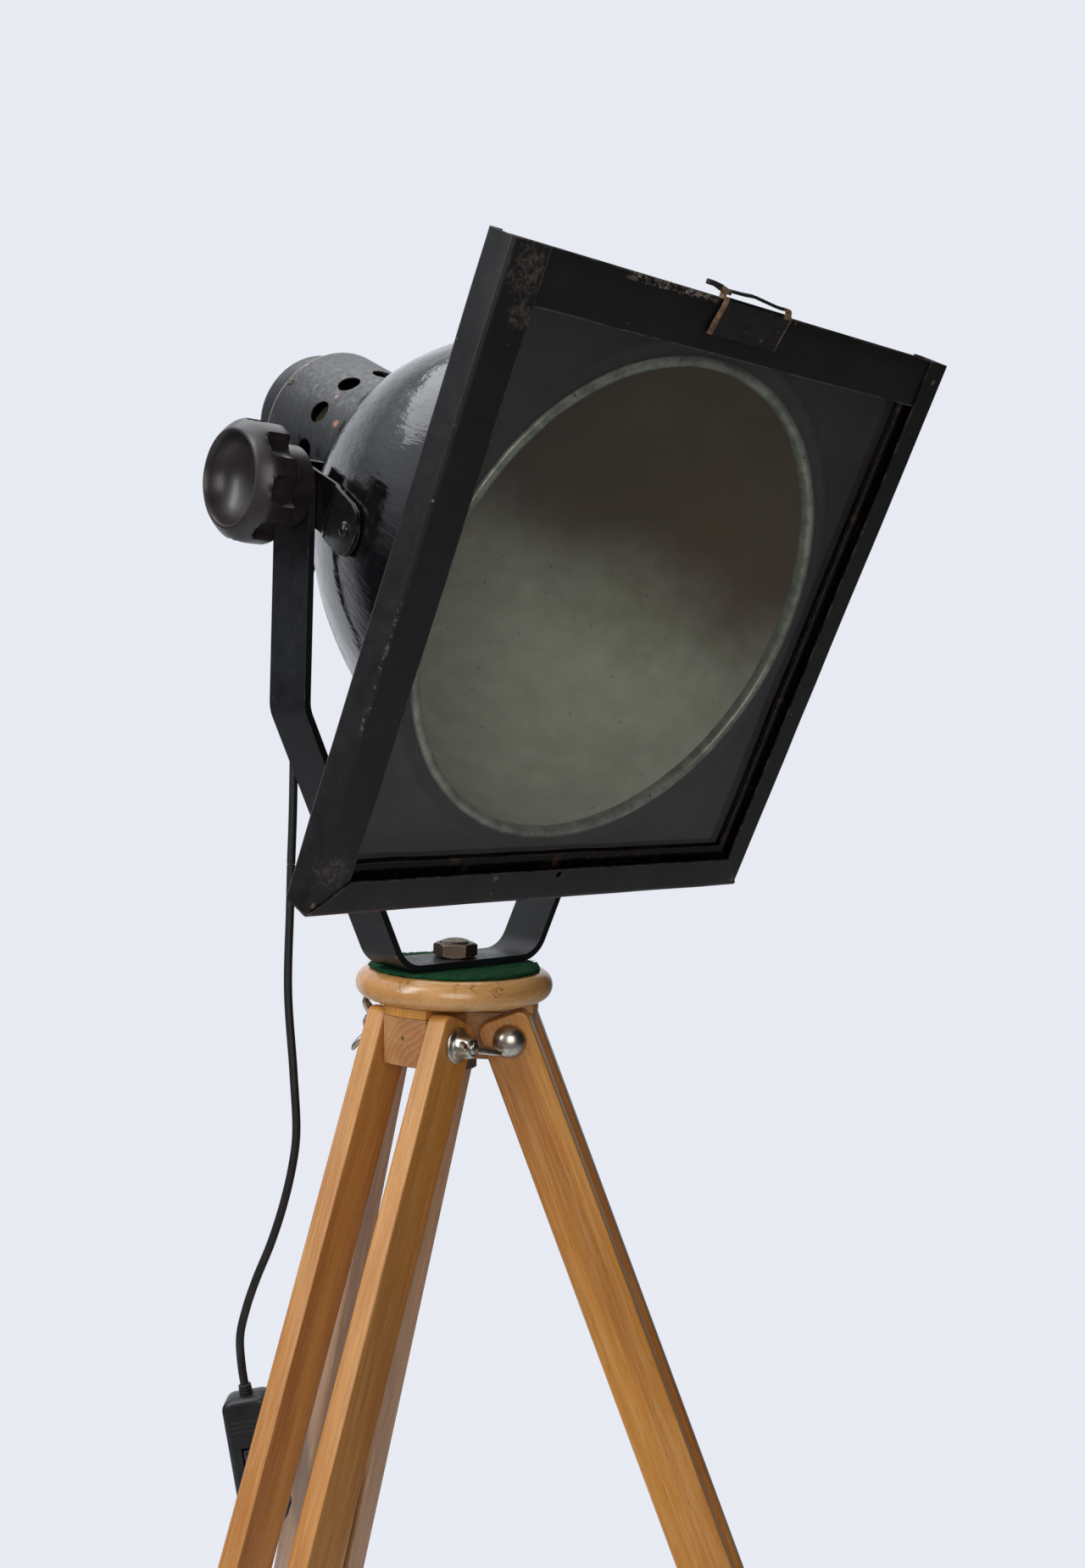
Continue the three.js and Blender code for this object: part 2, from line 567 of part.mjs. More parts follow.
// ---- mains lead, switch and plug ----
const sweep = (points, steps) => {
  const route = new THREE.CatmullRomCurve3(points.map(([x, y, z]) => new THREE.Vector3(x, y, z)),
    false, 'centripetal');
  const section = new THREE.Shape();
  for (let i = 0; i < 8; i += 1) {
    const turn = (i / 8) * 2 * Math.PI;
    const method = i === 0 ? 'moveTo' : 'lineTo';
    section[method]((CORD / 2) * Math.cos(turn), (CORD / 2) * Math.sin(turn));
  }
  section.closePath();
  return new THREE.ExtrudeGeometry(section, { steps, extrudePath: route, bevelEnabled: false });
};

const cordUpper = [
  [0, 189.7, 307], [0, 193.9, 298], [-1, 198, 288.5], [-3, 202.5, 272], [-5, 205, 250],
  [-6, 206, 220], [-6, 205, 180], [-6, 204, 140], [-6, 203.5, 95], [-6.5, 203.5, 55],
];
const cordMiddle = [
  [-6.5, 203.5, 54.5], [-6.5, 203.5, 19], [-6.5, 203.5, -50], [-2, 199.5, -117], [0.5, 197, -167],
  [-1, 198.5, -192], [-6, 203, -226], [-13, 210, -260], [-21.5, 218, -291], [-27, 223, -315],
  [-30.5, 226, -339], [-29, 225, -364], [-26, 222, -387],
];
const cordLower = [
  [-11, 207.5, -493], [-10.3, 206.9, -498], [-11.5, 207.3, -506], [-18, 209, -518],
  [-28, 211.5, -530], [-35, 212.5, -544], [-38.5, 211.5, -565],
  [-38, 208, -600], [-32, 200, -700], [-28, 193, -800], [-26, 189, -900], [-26, 187.5, -980],
  [-26, 187, -1020], [-26, 186, -1040], [-26, 181.6, -1056.5], [-26, 167, -1071],
  [-26, 149, -1076.3], [-26, 134.5, -1076.4],
];

function lead(group) {
  add(group, 'cord_upper', sweep(cordUpper, 16), rubber);
  add(group, 'cord_middle', sweep(cordMiddle, 30), rubber);
  add(group, 'cord_lower', sweep(cordLower, 32), rubber);
  const [inner, outer] = COIL.radii;
  const floor = -TOP_HEIGHT;
  const ring = turned([
    [outer, floor], [outer, floor + COIL.height], [inner, floor + COIL.height], [inner, floor],
  ], 28, true);
  add(group, 'cord_coil', ring.translate(COIL.x, COIL.y, 0), rubber);
}

function inlineSwitch(group) {
  const top = new THREE.Vector3(...cordMiddle.at(-1));
  const bottom = new THREE.Vector3(...cordLower[0]);
  const axis = top.clone().sub(bottom);
  const half = axis.length() / 2 - GAP;
  const frame = new THREE.Group();
  frame.position.copy(top).add(bottom).multiplyScalar(0.5);
  const up = axis.normalize();
  const facing = new THREE.Vector3(-0.683, -0.73, 0);
  const across = new THREE.Vector3().crossVectors(facing, up).normalize();
  const toward = new THREE.Vector3().crossVectors(up, across);
  frame.setRotationFromMatrix(new THREE.Matrix4().makeBasis(across, toward, up));
  group.add(frame);

  const size = { across: 20, thick: 13, corner: 9 };
  const shape = new THREE.Shape();
  const inset = size.across - size.corner;
  const end = half - size.corner;
  shape.moveTo(-inset, -half);
  shape.lineTo(inset, -half);
  shape.absarc(inset, -end, size.corner, -Math.PI / 2, 0, false);
  shape.lineTo(size.across, end);
  shape.absarc(inset, end, size.corner, 0, Math.PI / 2, false);
  shape.lineTo(-inset, half);
  shape.absarc(-inset, end, size.corner, Math.PI / 2, Math.PI, false);
  shape.lineTo(-size.across, -end);
  shape.absarc(-inset, -end, size.corner, Math.PI, 1.5 * Math.PI, false);
  const body = new THREE.ExtrudeGeometry(shape, {
    depth: 2 * size.thick - 6, bevelThickness: 3, bevelSize: 3, bevelOffset: -3,
    bevelSegments: 1, curveSegments: 4,
  });
  body.rotateX(Math.PI / 2).translate(0, size.thick - 3, 0);
  const pocket = block(-8.3, 8.3, size.thick - 10, size.thick + 5, -13.3, 13.3);
  add(frame, 'switch_body', cut(body, [pocket]), rubber);
  const rocker = block(-8, 8, 0, 6, -12, 12).rotateX(-ROCKER_TILT * RAD);
  add(frame, 'switch_rocker', rocker.translate(0, size.thick - 5, 0), rubber);
}

function plug(group) {
  const body = turned([
    [0, 0], [CORD / 2 + 1.2, 0], [CORD / 2 + 2, 16], [9, 22], [17, 30],
    [PLUG.radius, 36], [PLUG.radius, 56], [0, 56],
  ], 20);
  const pin = (x) => rod(2.4, 55, 75, 10).translate(x, 0, 0);
  const whole = join([body, pin(-9.5), pin(9.5)]);
  alongY(whole).rotateZ(PLUG.turn * RAD);
  const rest = PLUG.radius + GAP - TOP_HEIGHT;
  add(group, 'mains_plug', whole.translate(PLUG.x, PLUG.y, rest), rubber);
}

// ---- assembly ----
const head = new THREE.Group();
head.position.z = PIVOT_HEIGHT;
head.rotation.x = TILT * RAD;
const frame = frontFrame(head);
slidingPane(head, frame);
reflector(head, frame);
lightSource(head);
gland(head);
tiltHardware(head);

const top = new THREE.Group();
top.position.z = TOP_HEIGHT;
top.add(head);
yoke(top);
tripodTop(top);
const legs = LEG_AZIMUTHS.map((azimuth, i) => leg(top, i + 1, azimuth));
const discPlate = alongY(rod(18, 0, 2, 20)).translate(0, -RAIL.gap / 2 + GAP, -100);
add(legs[2], 'strap_disc', discPlate, nickel);

const lamp = new THREE.Group();
lamp.add(top);
lamp.updateMatrixWorld(true);
const box = new THREE.Box3().setFromObject(lamp, true);
lead(top);
inlineSwitch(top);
plug(top);
const centre = box.getCenter(new THREE.Vector3());
lamp.position.set(-centre.x, -centre.y, -box.min.z);

export default lamp;
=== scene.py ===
"""The looks of a square-fronted floodlight in a strap yoke, bolted to a wooden tripod.

Shapes are written in millimetres in the frame of the assembly they belong to, and each object's
matrix is that frame, so a material's object coordinates run along the piece.
"""

import random
from math import atan, atan2, cos, degrees, pi, radians, sin, sqrt, tan

import bmesh
import bpy
from mathutils import Matrix, Vector, noise


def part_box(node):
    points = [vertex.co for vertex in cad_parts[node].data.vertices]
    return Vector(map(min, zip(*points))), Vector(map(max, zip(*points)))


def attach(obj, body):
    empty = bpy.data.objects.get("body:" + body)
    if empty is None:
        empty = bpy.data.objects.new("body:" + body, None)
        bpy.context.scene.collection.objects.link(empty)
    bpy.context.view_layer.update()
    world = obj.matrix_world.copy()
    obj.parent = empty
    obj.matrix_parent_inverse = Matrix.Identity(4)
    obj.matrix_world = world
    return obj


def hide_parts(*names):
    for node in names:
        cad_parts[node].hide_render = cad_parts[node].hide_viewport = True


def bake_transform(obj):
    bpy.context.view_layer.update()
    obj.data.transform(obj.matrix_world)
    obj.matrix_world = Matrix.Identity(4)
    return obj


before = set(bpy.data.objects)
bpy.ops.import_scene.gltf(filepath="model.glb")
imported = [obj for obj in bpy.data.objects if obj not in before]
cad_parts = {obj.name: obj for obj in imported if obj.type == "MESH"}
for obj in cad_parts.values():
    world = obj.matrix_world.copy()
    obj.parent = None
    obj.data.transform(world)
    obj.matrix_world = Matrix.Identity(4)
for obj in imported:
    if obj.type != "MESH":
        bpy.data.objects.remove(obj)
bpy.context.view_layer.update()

MM = 0.001
TAU = 2 * pi
noise.seed_set(7)  # else noise_vector takes its seed from the clock

# ---- driving dimensions, as in the part ----
TOP_HEIGHT = 1080
TILT = 25
PIVOT_HEIGHT = 328
FRONT, BACK = 200, 176  # along the lamp axis, forward of the tilt axis
HALF_WIDTH, HALF_HEIGHT = 200, 205
SHEET = 1.5
LIP = {"left": 27, "right": 20, "bottom": 23, "top": 32}
REAR_LIP = 10
BOWL_RADIUS = 164.6
NECK_FRONT, NECK_REAR, NECK_RADIUS = -88, -187, 60
KNOB_FROM, KNOB_TO = 152.5, 200
LEG_AZIMUTHS = {1: 194, 2: 314, 3: 74}
SPLAY = 22
HINGE_RADIUS, HINGE_DROP = 44, 49
RAIL_WIDTH, RAIL_THICKNESS, RAIL_LENGTH, RAIL_GAP = 38, 16, 700, 38
LEG_OUTER = RAIL_GAP / 2 + RAIL_THICKNESS + 0.3
CORD = 7
SIDES = {"left": -1, "right": 1}


# ---- frames ----
def polar(radius, angle):
    return radius * cos(angle), radius * sin(angle)


def shift(x, y, z):
    return Matrix.Translation((x * MM, y * MM, z * MM))


def turn(angle, axis):
    return Matrix.Rotation(radians(angle), 4, axis)


nut_low, nut_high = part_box("yoke_nut")
felt_low, felt_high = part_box("felt_pad")
TOP = Matrix.Translation(
    ((nut_low.x + nut_high.x) / 2, (nut_low.y + nut_high.y) / 2, felt_high.z + 0.3 * MM))
HEAD = TOP @ shift(0, 0, PIVOT_HEIGHT) @ turn(TILT, "X")
LAMP = HEAD @ turn(90, "X")  # across, up, forward
LEVEL = {k: TOP @ shift(*polar(HINGE_RADIUS, radians(a)), -HINGE_DROP) @ turn(a, "Z")
         for k, a in LEG_AZIMUTHS.items()}
LEG = {k: matrix @ turn(-SPLAY, "Y") for k, matrix in LEVEL.items()}
ALONG_X = turn(90, "Y")
ALONG_Y = turn(-90, "X")


# ---- shapes: a shape is (vertices, faces) in millimetres ----
def loft(rings, capped=True, closed=False):
    """A skin over rings of points; closed joins the last ring to the first."""
    count = len(rings[0])
    verts = [tuple(p) for ring in rings for p in ring]
    faces = []
    steps = len(rings) if closed else len(rings) - 1
    for a in range(steps):
        b = (a + 1) % len(rings)
        for i in range(count):
            j = (i + 1) % count
            faces.append((a * count + i, a * count + j, b * count + j, b * count + i))
    if capped and not closed:
        faces.append(tuple(reversed(range(count))))
        faces.append(tuple(range(len(verts) - count, len(verts))))
    return verts, faces


def lathe(profile, sides=64, closed=False, wobble=None):
    """A piece turned about Z from (radius, z) pairs; wobble(radius, z, angle) changes a radius."""
    rings = []
    for r, z in profile:
        ring = []
        for i in range(sides):
            a = TAU * i / sides
            rr = wobble(r, z, a) if wobble else r
            ring.append((*polar(rr, a), z))
        rings.append(ring)
    verts, faces = loft(rings, capped=False, closed=closed)
    if not closed:
        if profile[0][0] > 0:
            faces.append(tuple(reversed(range(sides))))
        if profile[-1][0] > 0:
            faces.append(tuple(range(len(verts) - sides, len(verts))))
    return verts, faces


def prism(outline, z0, z1):
    return loft([[(x, y, z0) for x, y in outline], [(x, y, z1) for x, y in outline]])


def block(low, high):
    (x0, y0, z0), (x1, y1, z1) = low, high
    return prism([(x0, y0), (x1, y0), (x1, y1), (x0, y1)], z0, z1)


def rod(radius, z0, z1, sides=24):
    return lathe([(radius, z0), (radius, z1)], sides)


def moved(shape, matrix):
    verts, faces = shape
    scaled = matrix.copy()
    scaled.translation = matrix.translation / MM
    return [tuple(scaled @ Vector(v)) for v in verts], faces


def both(*shapes):
    verts, faces = [], []
    for v, f in shapes:
        start = len(verts)
        verts.extend(v)
        faces.extend(tuple(i + start for i in face) for face in f)
    return verts, faces


def arc(centre, radius, start, sweep, steps):
    """(x, y) points on part of a circle; the angles are in degrees."""
    points = []
    for i in range(steps + 1):
        x, y = polar(radius, radians(start + sweep * i / steps))
        points.append((centre[0] + x, centre[1] + y))
    return points


def rounded_rectangle(half_x, half_y, radius, steps=6):
    outline = []
    for x, y, start in ((1, 1, 0), (-1, 1, 90), (-1, -1, 180), (1, -1, 270)):
        outline += arc((x * (half_x - radius), y * (half_y - radius)), radius, start, 90, steps)
    return outline


def raised(profile, height):
    return [(r, height + z) for r, z in profile]


def repeated(points, start, pitch, count, taper=0.0):
    """Thread turns or ribs: (radius, z) points again at each pitch, each time smaller by taper."""
    return [(r - i * taper, start + i * pitch + z) for i in range(count) for r, z in points]


def fillet(points, radius, steps=5):
    """A line of (x, y) points with its corners rounded; radius is a number or one for each point."""
    radii = radius if isinstance(radius, (list, tuple)) else [radius] * len(points)
    line = [Vector(points[0])]
    for before, here, after, r in zip(points, points[1:], points[2:], radii[1:]):
        a, p, b = Vector(before), Vector(here), Vector(after)
        into, out = (a - p).normalized(), (b - p).normalized()
        half = into.angle(out) / 2
        back = r / tan(half)
        centre = p + (into + out).normalized() * (r / sin(half))
        start, end = p + into * back - centre, p + out * back - centre
        first = atan2(start.y, start.x)
        swing = (atan2(end.y, end.x) - first + pi) % TAU - pi
        for i in range(steps + 1):
            a = first + swing * i / steps
            line.append(centre + Vector((cos(a), sin(a))) * r)
    line.append(Vector(points[-1]))
    return line


def offset(line, distance):
    """The line moved sideways, to the left of its direction."""
    moved_line = []
    for i, point in enumerate(line):
        before = line[max(i - 1, 0)]
        after = line[min(i + 1, len(line) - 1)]
        a = (point - before).normalized() if i else (after - point).normalized()
        b = (after - point).normalized() if i < len(line) - 1 else a
        normal = Vector((-a.y - b.y, a.x + b.x)).normalized()
        stretch = max(normal.dot(Vector((-a.y, a.x))), 0.3)
        moved_line.append(point + normal * (distance / stretch))
    return moved_line


def catmull(points, step=3.0):
    """A smooth line through points, with a point about every step."""
    pts = [Vector(p) for p in points]
    ends = [2 * pts[0] - pts[1]] + pts + [2 * pts[-1] - pts[-2]]
    line = [pts[0]]
    for a, b, c, d in zip(ends, ends[1:], ends[2:], ends[3:]):
        t0 = 0.0
        t1 = t0 + sqrt((b - a).length)
        t2 = t1 + sqrt((c - b).length)
        t3 = t2 + sqrt((d - c).length)
        count = max(2, round((c - b).length / step))
        for i in range(1, count + 1):
            t = t1 + (t2 - t1) * i / count
            a1 = a.lerp(b, (t - t0) / (t1 - t0))
            a2 = b.lerp(c, (t - t1) / (t2 - t1))
            a3 = c.lerp(d, (t - t2) / (t3 - t2))
            b1 = a1.lerp(a2, (t - t0) / (t2 - t0))
            b2 = a2.lerp(a3, (t - t1) / (t3 - t1))
            line.append(b1.lerp(b2, (t - t1) / (t2 - t1)))
    return line


def tube(line, radius, sides=12, squash=1.0):
    """A skin round a line; radius is a number or a function of the share of the way along."""
    size = radius if callable(radius) else lambda t: radius
    rings = []
    normal = None
    for i, point in enumerate(line):
        ahead = line[min(i + 1, len(line) - 1)] - line[max(i - 1, 0)]
        ahead.normalize()
        if normal is None:
            normal = ahead.orthogonal().normalized()
        normal = (normal - ahead * normal.dot(ahead)).normalized()
        across = ahead.cross(normal)
        r = size(i / (len(line) - 1))
        rings.append([
            point + (normal * cos(TAU * k / sides) + across * squash * sin(TAU * k / sides)) * r
            for k in range(sides)])
    return loft(rings)


def rough(point, size, amount, seed=0.0):
    """A smooth random offset for a point, for hand-worked surfaces."""
    return noise.noise_vector(Vector(point) / size + Vector((seed, seed, seed))) * amount


# ---- objects ----
def raw_object(name, shape, matrix):
    mesh = bpy.data.meshes.new(name)
    verts, faces = shape
    mesh.from_pydata([Vector(v) * MM for v in verts], [], faces)
    grid = bmesh.new()
    grid.from_mesh(mesh)
    bmesh.ops.remove_doubles(grid, verts=grid.verts, dist=1e-6)
    bmesh.ops.recalc_face_normals(grid, faces=grid.faces)
    grid.to_mesh(mesh)
    grid.free()
    obj = bpy.data.objects.new(name, mesh)
    bpy.context.scene.collection.objects.link(obj)
    obj.matrix_world = matrix
    return obj


def drill(obj, shape):
    """Takes a shape, in obj's own frame, out of obj."""
    tool = raw_object("tool", shape, obj.matrix_world)
    cut = obj.modifiers.new("cut", "BOOLEAN")
    cut.solver = "EXACT"
    cut.object = tool
    bpy.context.view_layer.update()
    graph = bpy.context.evaluated_depsgraph_get()
    mesh = bpy.data.meshes.new_from_object(obj.evaluated_get(graph))
    obj.modifiers.clear()
    obj.data = mesh
    bpy.data.objects.remove(tool)


def piece(name, shape, matrix, body, slot, material, stands_for=(), bevel=0.0, segments=2,
          sharp=32, holes=None):
    obj = raw_object(name, shape, matrix)
    if holes:
        drill(obj, holes)
    obj.data.materials.clear()
    obj.data.materials.append(material)
    obj.data.shade_smooth()
    if bevel:
        rounding = obj.modifiers.new("bevel", "BEVEL")
        rounding.width = bevel * MM
        rounding.segments = segments
        rounding.limit_method = "ANGLE"
        rounding.angle_limit = radians(sharp)
        rounding.harden_normals = True
        rounding.use_clamp_overlap = True
    else:
        obj.data.set_sharp_from_angle(angle=radians(sharp))
    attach(obj, body)
    if stands_for:
        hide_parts(*stands_for)
    return obj


def on_lamp(name, shape, slot, material, *rest, **more):
    return piece(name, shape, LAMP, "lamp_head", slot, material, *rest, **more)


# ---- materials ----
def rgb(code):
    """A display colour such as 2a2b2f as scene-linear RGBA."""
    parts = [int(code[i:i + 2], 16) / 255 for i in (0, 2, 4)]
    linear = [c / 12.92 if c <= 0.04045 else ((c + 0.055) / 1.055) ** 2.4 for c in parts]
    return (*linear, 1.0)


def put(tree, socket, value):
    if isinstance(value, bpy.types.NodeSocket):
        tree.links.new(value, socket)
    else:
        socket.default_value = value


def add_node(tree, kind, inputs=(), **settings):
    made = tree.nodes.new("ShaderNode" + kind)
    for key, value in settings.items():
        setattr(made, key, value)
    for key, value in dict(inputs).items():
        put(tree, made.inputs[key], value)
    return made


class Finish:
    """A Principled material whose colour, roughness and bump are built from noise and masks."""

    def __init__(self, name, **uniform):
        self.material = bpy.data.materials.new(name)
        self.material.use_nodes = True
        self.tree = self.material.node_tree
        self.shader = self.tree.nodes["Principled BSDF"]
        self.point = self.node("TexCoord").outputs["Object"]
        for socket, value in uniform.items():
            self.shader.inputs[socket.replace("_", " ").title().replace("Ior", "IOR")].default_value = value

    def node(self, kind, inputs=(), **settings):
        return add_node(self.tree, kind, inputs, **settings)

    def noise(self, scale, detail=3.0, stretch=(1, 1, 1), seed=0.0, roughness=0.55, bend=0.0):
        """Noise from 0 to 1 with scale features to the metre."""
        place = self.node("VectorMath", {0: self.point, 1: stretch}, operation="MULTIPLY").outputs[0]
        place = self.node("VectorMath", {0: place, 1: (seed, seed, seed)}, operation="ADD").outputs[0]
        made = self.node("TexNoise", {"Vector": place, "Scale": scale, "Detail": detail,
                                      "Roughness": roughness, "Distortion": bend})
        return made.outputs["Fac"]

    def ramp(self, value, low, high):
        made = self.node("MapRange", {0: value, 1: low, 2: high}, interpolation_type="SMOOTHSTEP")
        return made.outputs[0]

    def math(self, operation, a, b=0.0):
        return self.node("Math", {0: a, 1: b}, operation=operation).outputs[0]

    def times(self, a, b):
        return self.math("MULTIPLY", a, b)

    def plus(self, a, b):
        return self.math("ADD", a, b)

    def minus(self, a, b):
        return self.math("SUBTRACT", a, b)

    def most(self, *masks):
        total = masks[0]
        for mask in masks[1:]:
            total = self.math("MAXIMUM", total, mask)
        return total

    def mix(self, share, a, b):
        """From a to b by share; a colour is a socket or a code."""
        a, b = (rgb(c) if isinstance(c, str) else c for c in (a, b))
        made = self.node("Mix", {0: share, 6: a, 7: b}, data_type="RGBA")
        return made.outputs[2]

    def blend(self, share, a, b):
        made = self.node("Mix", {0: share, 2: a, 3: b})
        return made.outputs[0]

    def axis(self, index):
        """One object coordinate, in millimetres."""
        split = self.node("SeparateXYZ", {0: self.point}).outputs[index]
        return self.math("DIVIDE", split, MM)

    def near(self, place, radius):
        """1 at a place in millimetres, falling to 0 at the radius, with a ragged edge."""
        gap = self.node("VectorMath", {0: self.point, 1: [c * MM for c in place]},
                        operation="DISTANCE").outputs["Value"]
        ragged = self.times(self.noise(300, 3), 0.9 * radius * MM)
        return self.ramp(self.plus(gap, ragged), radius * MM * 1.1, radius * MM * 0.7)

    def scuff(self, along, start, end, levels, width):
        """A scraped edge: from start to end on one axis, and within width of the given levels."""
        run = self.axis(along)
        ragged = self.noise(150, 6, roughness=0.8)
        length = self.times(self.ramp(run, start - 4.0, start + 4.0), self.ramp(run, end + 4.0, end - 4.0))
        gap = 0.0
        for across, level in levels:
            gap = self.plus(gap, self.math("ABSOLUTE", self.minus(self.axis(across), level)))
        reach = self.times(ragged, width * 2.0)
        inside = self.ramp(self.minus(reach, gap), 0.0, width * 0.3)
        torn = self.ramp(self.noise(260, 5, seed=4.0, roughness=0.7), 0.47, 0.57)
        return self.times(self.times(length, inside), torn)

    def edges(self, radius):
        """1 on the edges, within about radius millimetres."""
        rounded = self.node("Bevel", {"Radius": radius * MM}, samples=4).outputs[0]
        flat = self.node("NewGeometry").outputs["Normal"]
        same = self.node("VectorMath", {0: rounded, 1: flat}, operation="DOT_PRODUCT").outputs["Value"]
        return self.ramp(same, 0.995, 0.86)

    def bump(self, *layers):
        """Layers of (height, depth in millimetres), one on another."""
        normal = None
        for height, depth in layers:
            made = self.node("Bump", {"Height": height, "Distance": depth * MM, "Strength": 1.0})
            if normal:
                put(self.tree, made.inputs["Normal"], normal)
            normal = made.outputs[0]
        put(self.tree, self.shader.inputs["Normal"], normal)

    def done(self, color=None, rough=None, metal=None):
        if color is not None:
            put(self.tree, self.shader.inputs["Base Color"], color)
        if rough is not None:
            put(self.tree, self.shader.inputs["Roughness"], rough)
        if metal is not None:
            put(self.tree, self.shader.inputs["Metallic"], metal)
        return self.material


def black_paint(name, base="0e0d0e", worn="4d4038", wear=0.66, gloss=0.46, chips=(), dust="181718",
                scuff=None, stains=()):
    """Old black paint on steel: soft gloss, dust, rubbed edges and chips at known places."""
    f = Finish(name, specular_ior_level=0.36)
    cloud = f.noise(14, 5, seed=3.1)
    grit = f.noise(420, 4)
    patch = f.noise(60, 6, seed=9.0, roughness=0.7)
    rubbed = f.times(f.edges(1.4), f.ramp(f.noise(55, 6, seed=5.0, roughness=0.75), wear - 0.1, wear + 0.03))
    specks = f.times(f.ramp(f.noise(210, 3, seed=1.7), 0.72, 0.76), 0.5)
    marks = [f.near(place, radius) for place, radius in chips]
    if scuff:
        marks.append(f.scuff(*scuff))
    bare = f.most(rubbed, specks, *marks)
    paint = f.mix(f.ramp(cloud, 0.3, 0.75), base, dust)
    paint = f.mix(f.times(f.ramp(patch, 0.5, 0.8), 0.3), paint, "231f1d")
    steel = f.mix(f.ramp(patch, 0.4, 0.6), worn, "6a5d50")
    for place, radius in stains:
        tired = f.times(f.near(place, radius), f.ramp(f.noise(170, 6, seed=8.0, roughness=0.8), 0.42, 0.62))
        paint = f.mix(f.times(tired, 0.7), paint, "5a5048")
    color = f.mix(bare, paint, steel)
    rough_ = f.plus(gloss, f.times(f.minus(patch, 0.5), 0.5))
    f.bump((cloud, 0.35), (grit, 0.04), (f.minus(1.0, bare), 0.12))
    return f.done(color, f.blend(bare, rough_, 0.75))


def enamel():
    f = Finish("enamel", specular_ior_level=0.42)
    streak = f.noise(26, 5, stretch=(1, 1, 0.16), seed=2.0, roughness=0.62)
    dust = f.noise(75, 6, seed=6.0, roughness=0.72)
    color = f.mix(f.ramp(streak, 0.35, 0.7), "060607", "0f0f11")
    color = f.mix(f.times(f.ramp(dust, 0.55, 0.8), 0.25), color, "37342f")
    rust = f.most(f.near((-149, 0, 56), 9), f.near((-146, -15, 48), 6), f.near((-147, 15, 50), 5))
    color = f.mix(rust, color, "5c4632")
    f.bump((streak, 1.6), (dust, 0.03))
    return f.done(color, f.blend(f.ramp(dust, 0.45, 0.8), 0.09, 0.28))


def reflector_lining():
    """Grey-green lining, painted dark brown over its upper part above the lamp axis as a painted reflection
    of the dark room, and paler below it.
    """
    f = Finish("reflector_lining")
    up = f.axis(1)
    cloud = f.noise(16, 5, seed=4.0)
    # painted reflection: above the lamp axis the lining is painted dark brown for the dark room it reflects;
    # below the axis it keeps its pale grey-green
    height = f.plus(up, f.times(f.minus(cloud, 0.5), 90.0))
    painted_reflection_mask = f.ramp(height, -105.0, 25.0)
    speck = f.ramp(f.noise(190, 4, seed=8.0), 0.66, 0.72)
    lining_colour = f.mix(f.ramp(f.noise(60, 5), 0.2, 0.85), "b6bdaa", "cfd3c4")
    # the brown of the painted reflection
    dark = f.mix(cloud, "4d3a25", "66502f")
    color = f.mix(painted_reflection_mask, lining_colour, dark)
    color = f.mix(f.times(speck, 0.45), color, "3c3226")
    f.bump((f.noise(120, 4), 0.12))
    return f.done(color, f.blend(cloud, 0.36, 0.52), 0.1)


def rolled_rim():
    f = Finish("rolled_rim")
    wear = f.noise(70, 6, seed=2.0, roughness=0.7)
    color = f.mix(f.ramp(wear, 0.35, 0.65), "9a9f93", "6c7066")
    color = f.mix(f.ramp(f.noise(150, 4, seed=7.0), 0.66, 0.74), color, "4a3828")
    f.bump((wear, 0.2))
    return f.done(color, 0.34, 0.35)


def neck_paint():
    """Brushed black paint with slanting strokes and orange-red chips."""
    f = Finish("neck_paint")
    wave = f.node("VectorRotate", {"Vector": f.point, "Axis": (1, 0, 0), "Angle": 0.5}).outputs[0]
    fibre = f.node("TexNoise", {
        "Vector": f.node("VectorMath", {0: wave, 1: (1.0, 0.25, 1.0)}, operation="MULTIPLY").outputs[0],
        "Scale": 260.0, "Detail": 5.0, "Roughness": 0.65}).outputs["Fac"]
    stroke = f.ramp(fibre, 0.36, 0.66)
    cloud = f.noise(30, 4)
    chips = f.times(f.ramp(f.noise(85, 5, seed=11.0, roughness=0.7), 0.70, 0.735),
                   f.ramp(f.noise(22, 2, seed=4.0), 0.45, 0.6))
    spots = f.most(chips, f.near((-56, 22, -106), 6), f.near((-47, 37, -127), 3.5),
                   f.near((-53, 30, -184), 3.5), f.near((-40, 45, -185), 3.5))
    color = f.mix(stroke, "0a0a0c", "1a1b1f")
    color = f.mix(f.times(cloud, 0.3), color, "202024")
    seam = f.ramp(f.axis(2), -185.3, -185.9)
    color = f.mix(seam, color, "8d8a88")
    color = f.mix(spots, color, "9a6350")
    f.bump((stroke, 0.18), (f.minus(1.0, spots), 0.12))
    return f.done(color, f.blend(stroke, 0.3, 0.5))


def bakelite():
    f = Finish("bakelite", coat_weight=0.15, coat_roughness=0.2)
    cloud = f.noise(45, 6, roughness=0.65)
    fine = f.noise(700, 3)
    color = f.mix(f.ramp(cloud, 0.3, 0.7), "1f191b", "2c2325")
    color = f.mix(f.times(f.edges(1.0), 0.35), color, "574c4d")
    f.bump((fine, 0.03), (cloud, 0.1))
    return f.done(color, f.blend(cloud, 0.34, 0.46))


def rusty_steel():
    f = Finish("rusty_steel")
    cloud = f.noise(70, 6, roughness=0.7)
    fine = f.noise(500, 4)
    rust = f.times(f.ramp(cloud, 0.56, 0.7), 0.7)
    color = f.mix(rust, "141213", "4a3426")
    color = f.mix(f.times(f.edges(0.9), f.ramp(fine, 0.3, 0.6)), color, "8a6f57")
    f.bump((cloud, 0.2), (fine, 0.05))
    return f.done(color, f.blend(rust, 0.4, 0.75), f.blend(rust, 0.6, 0.15))


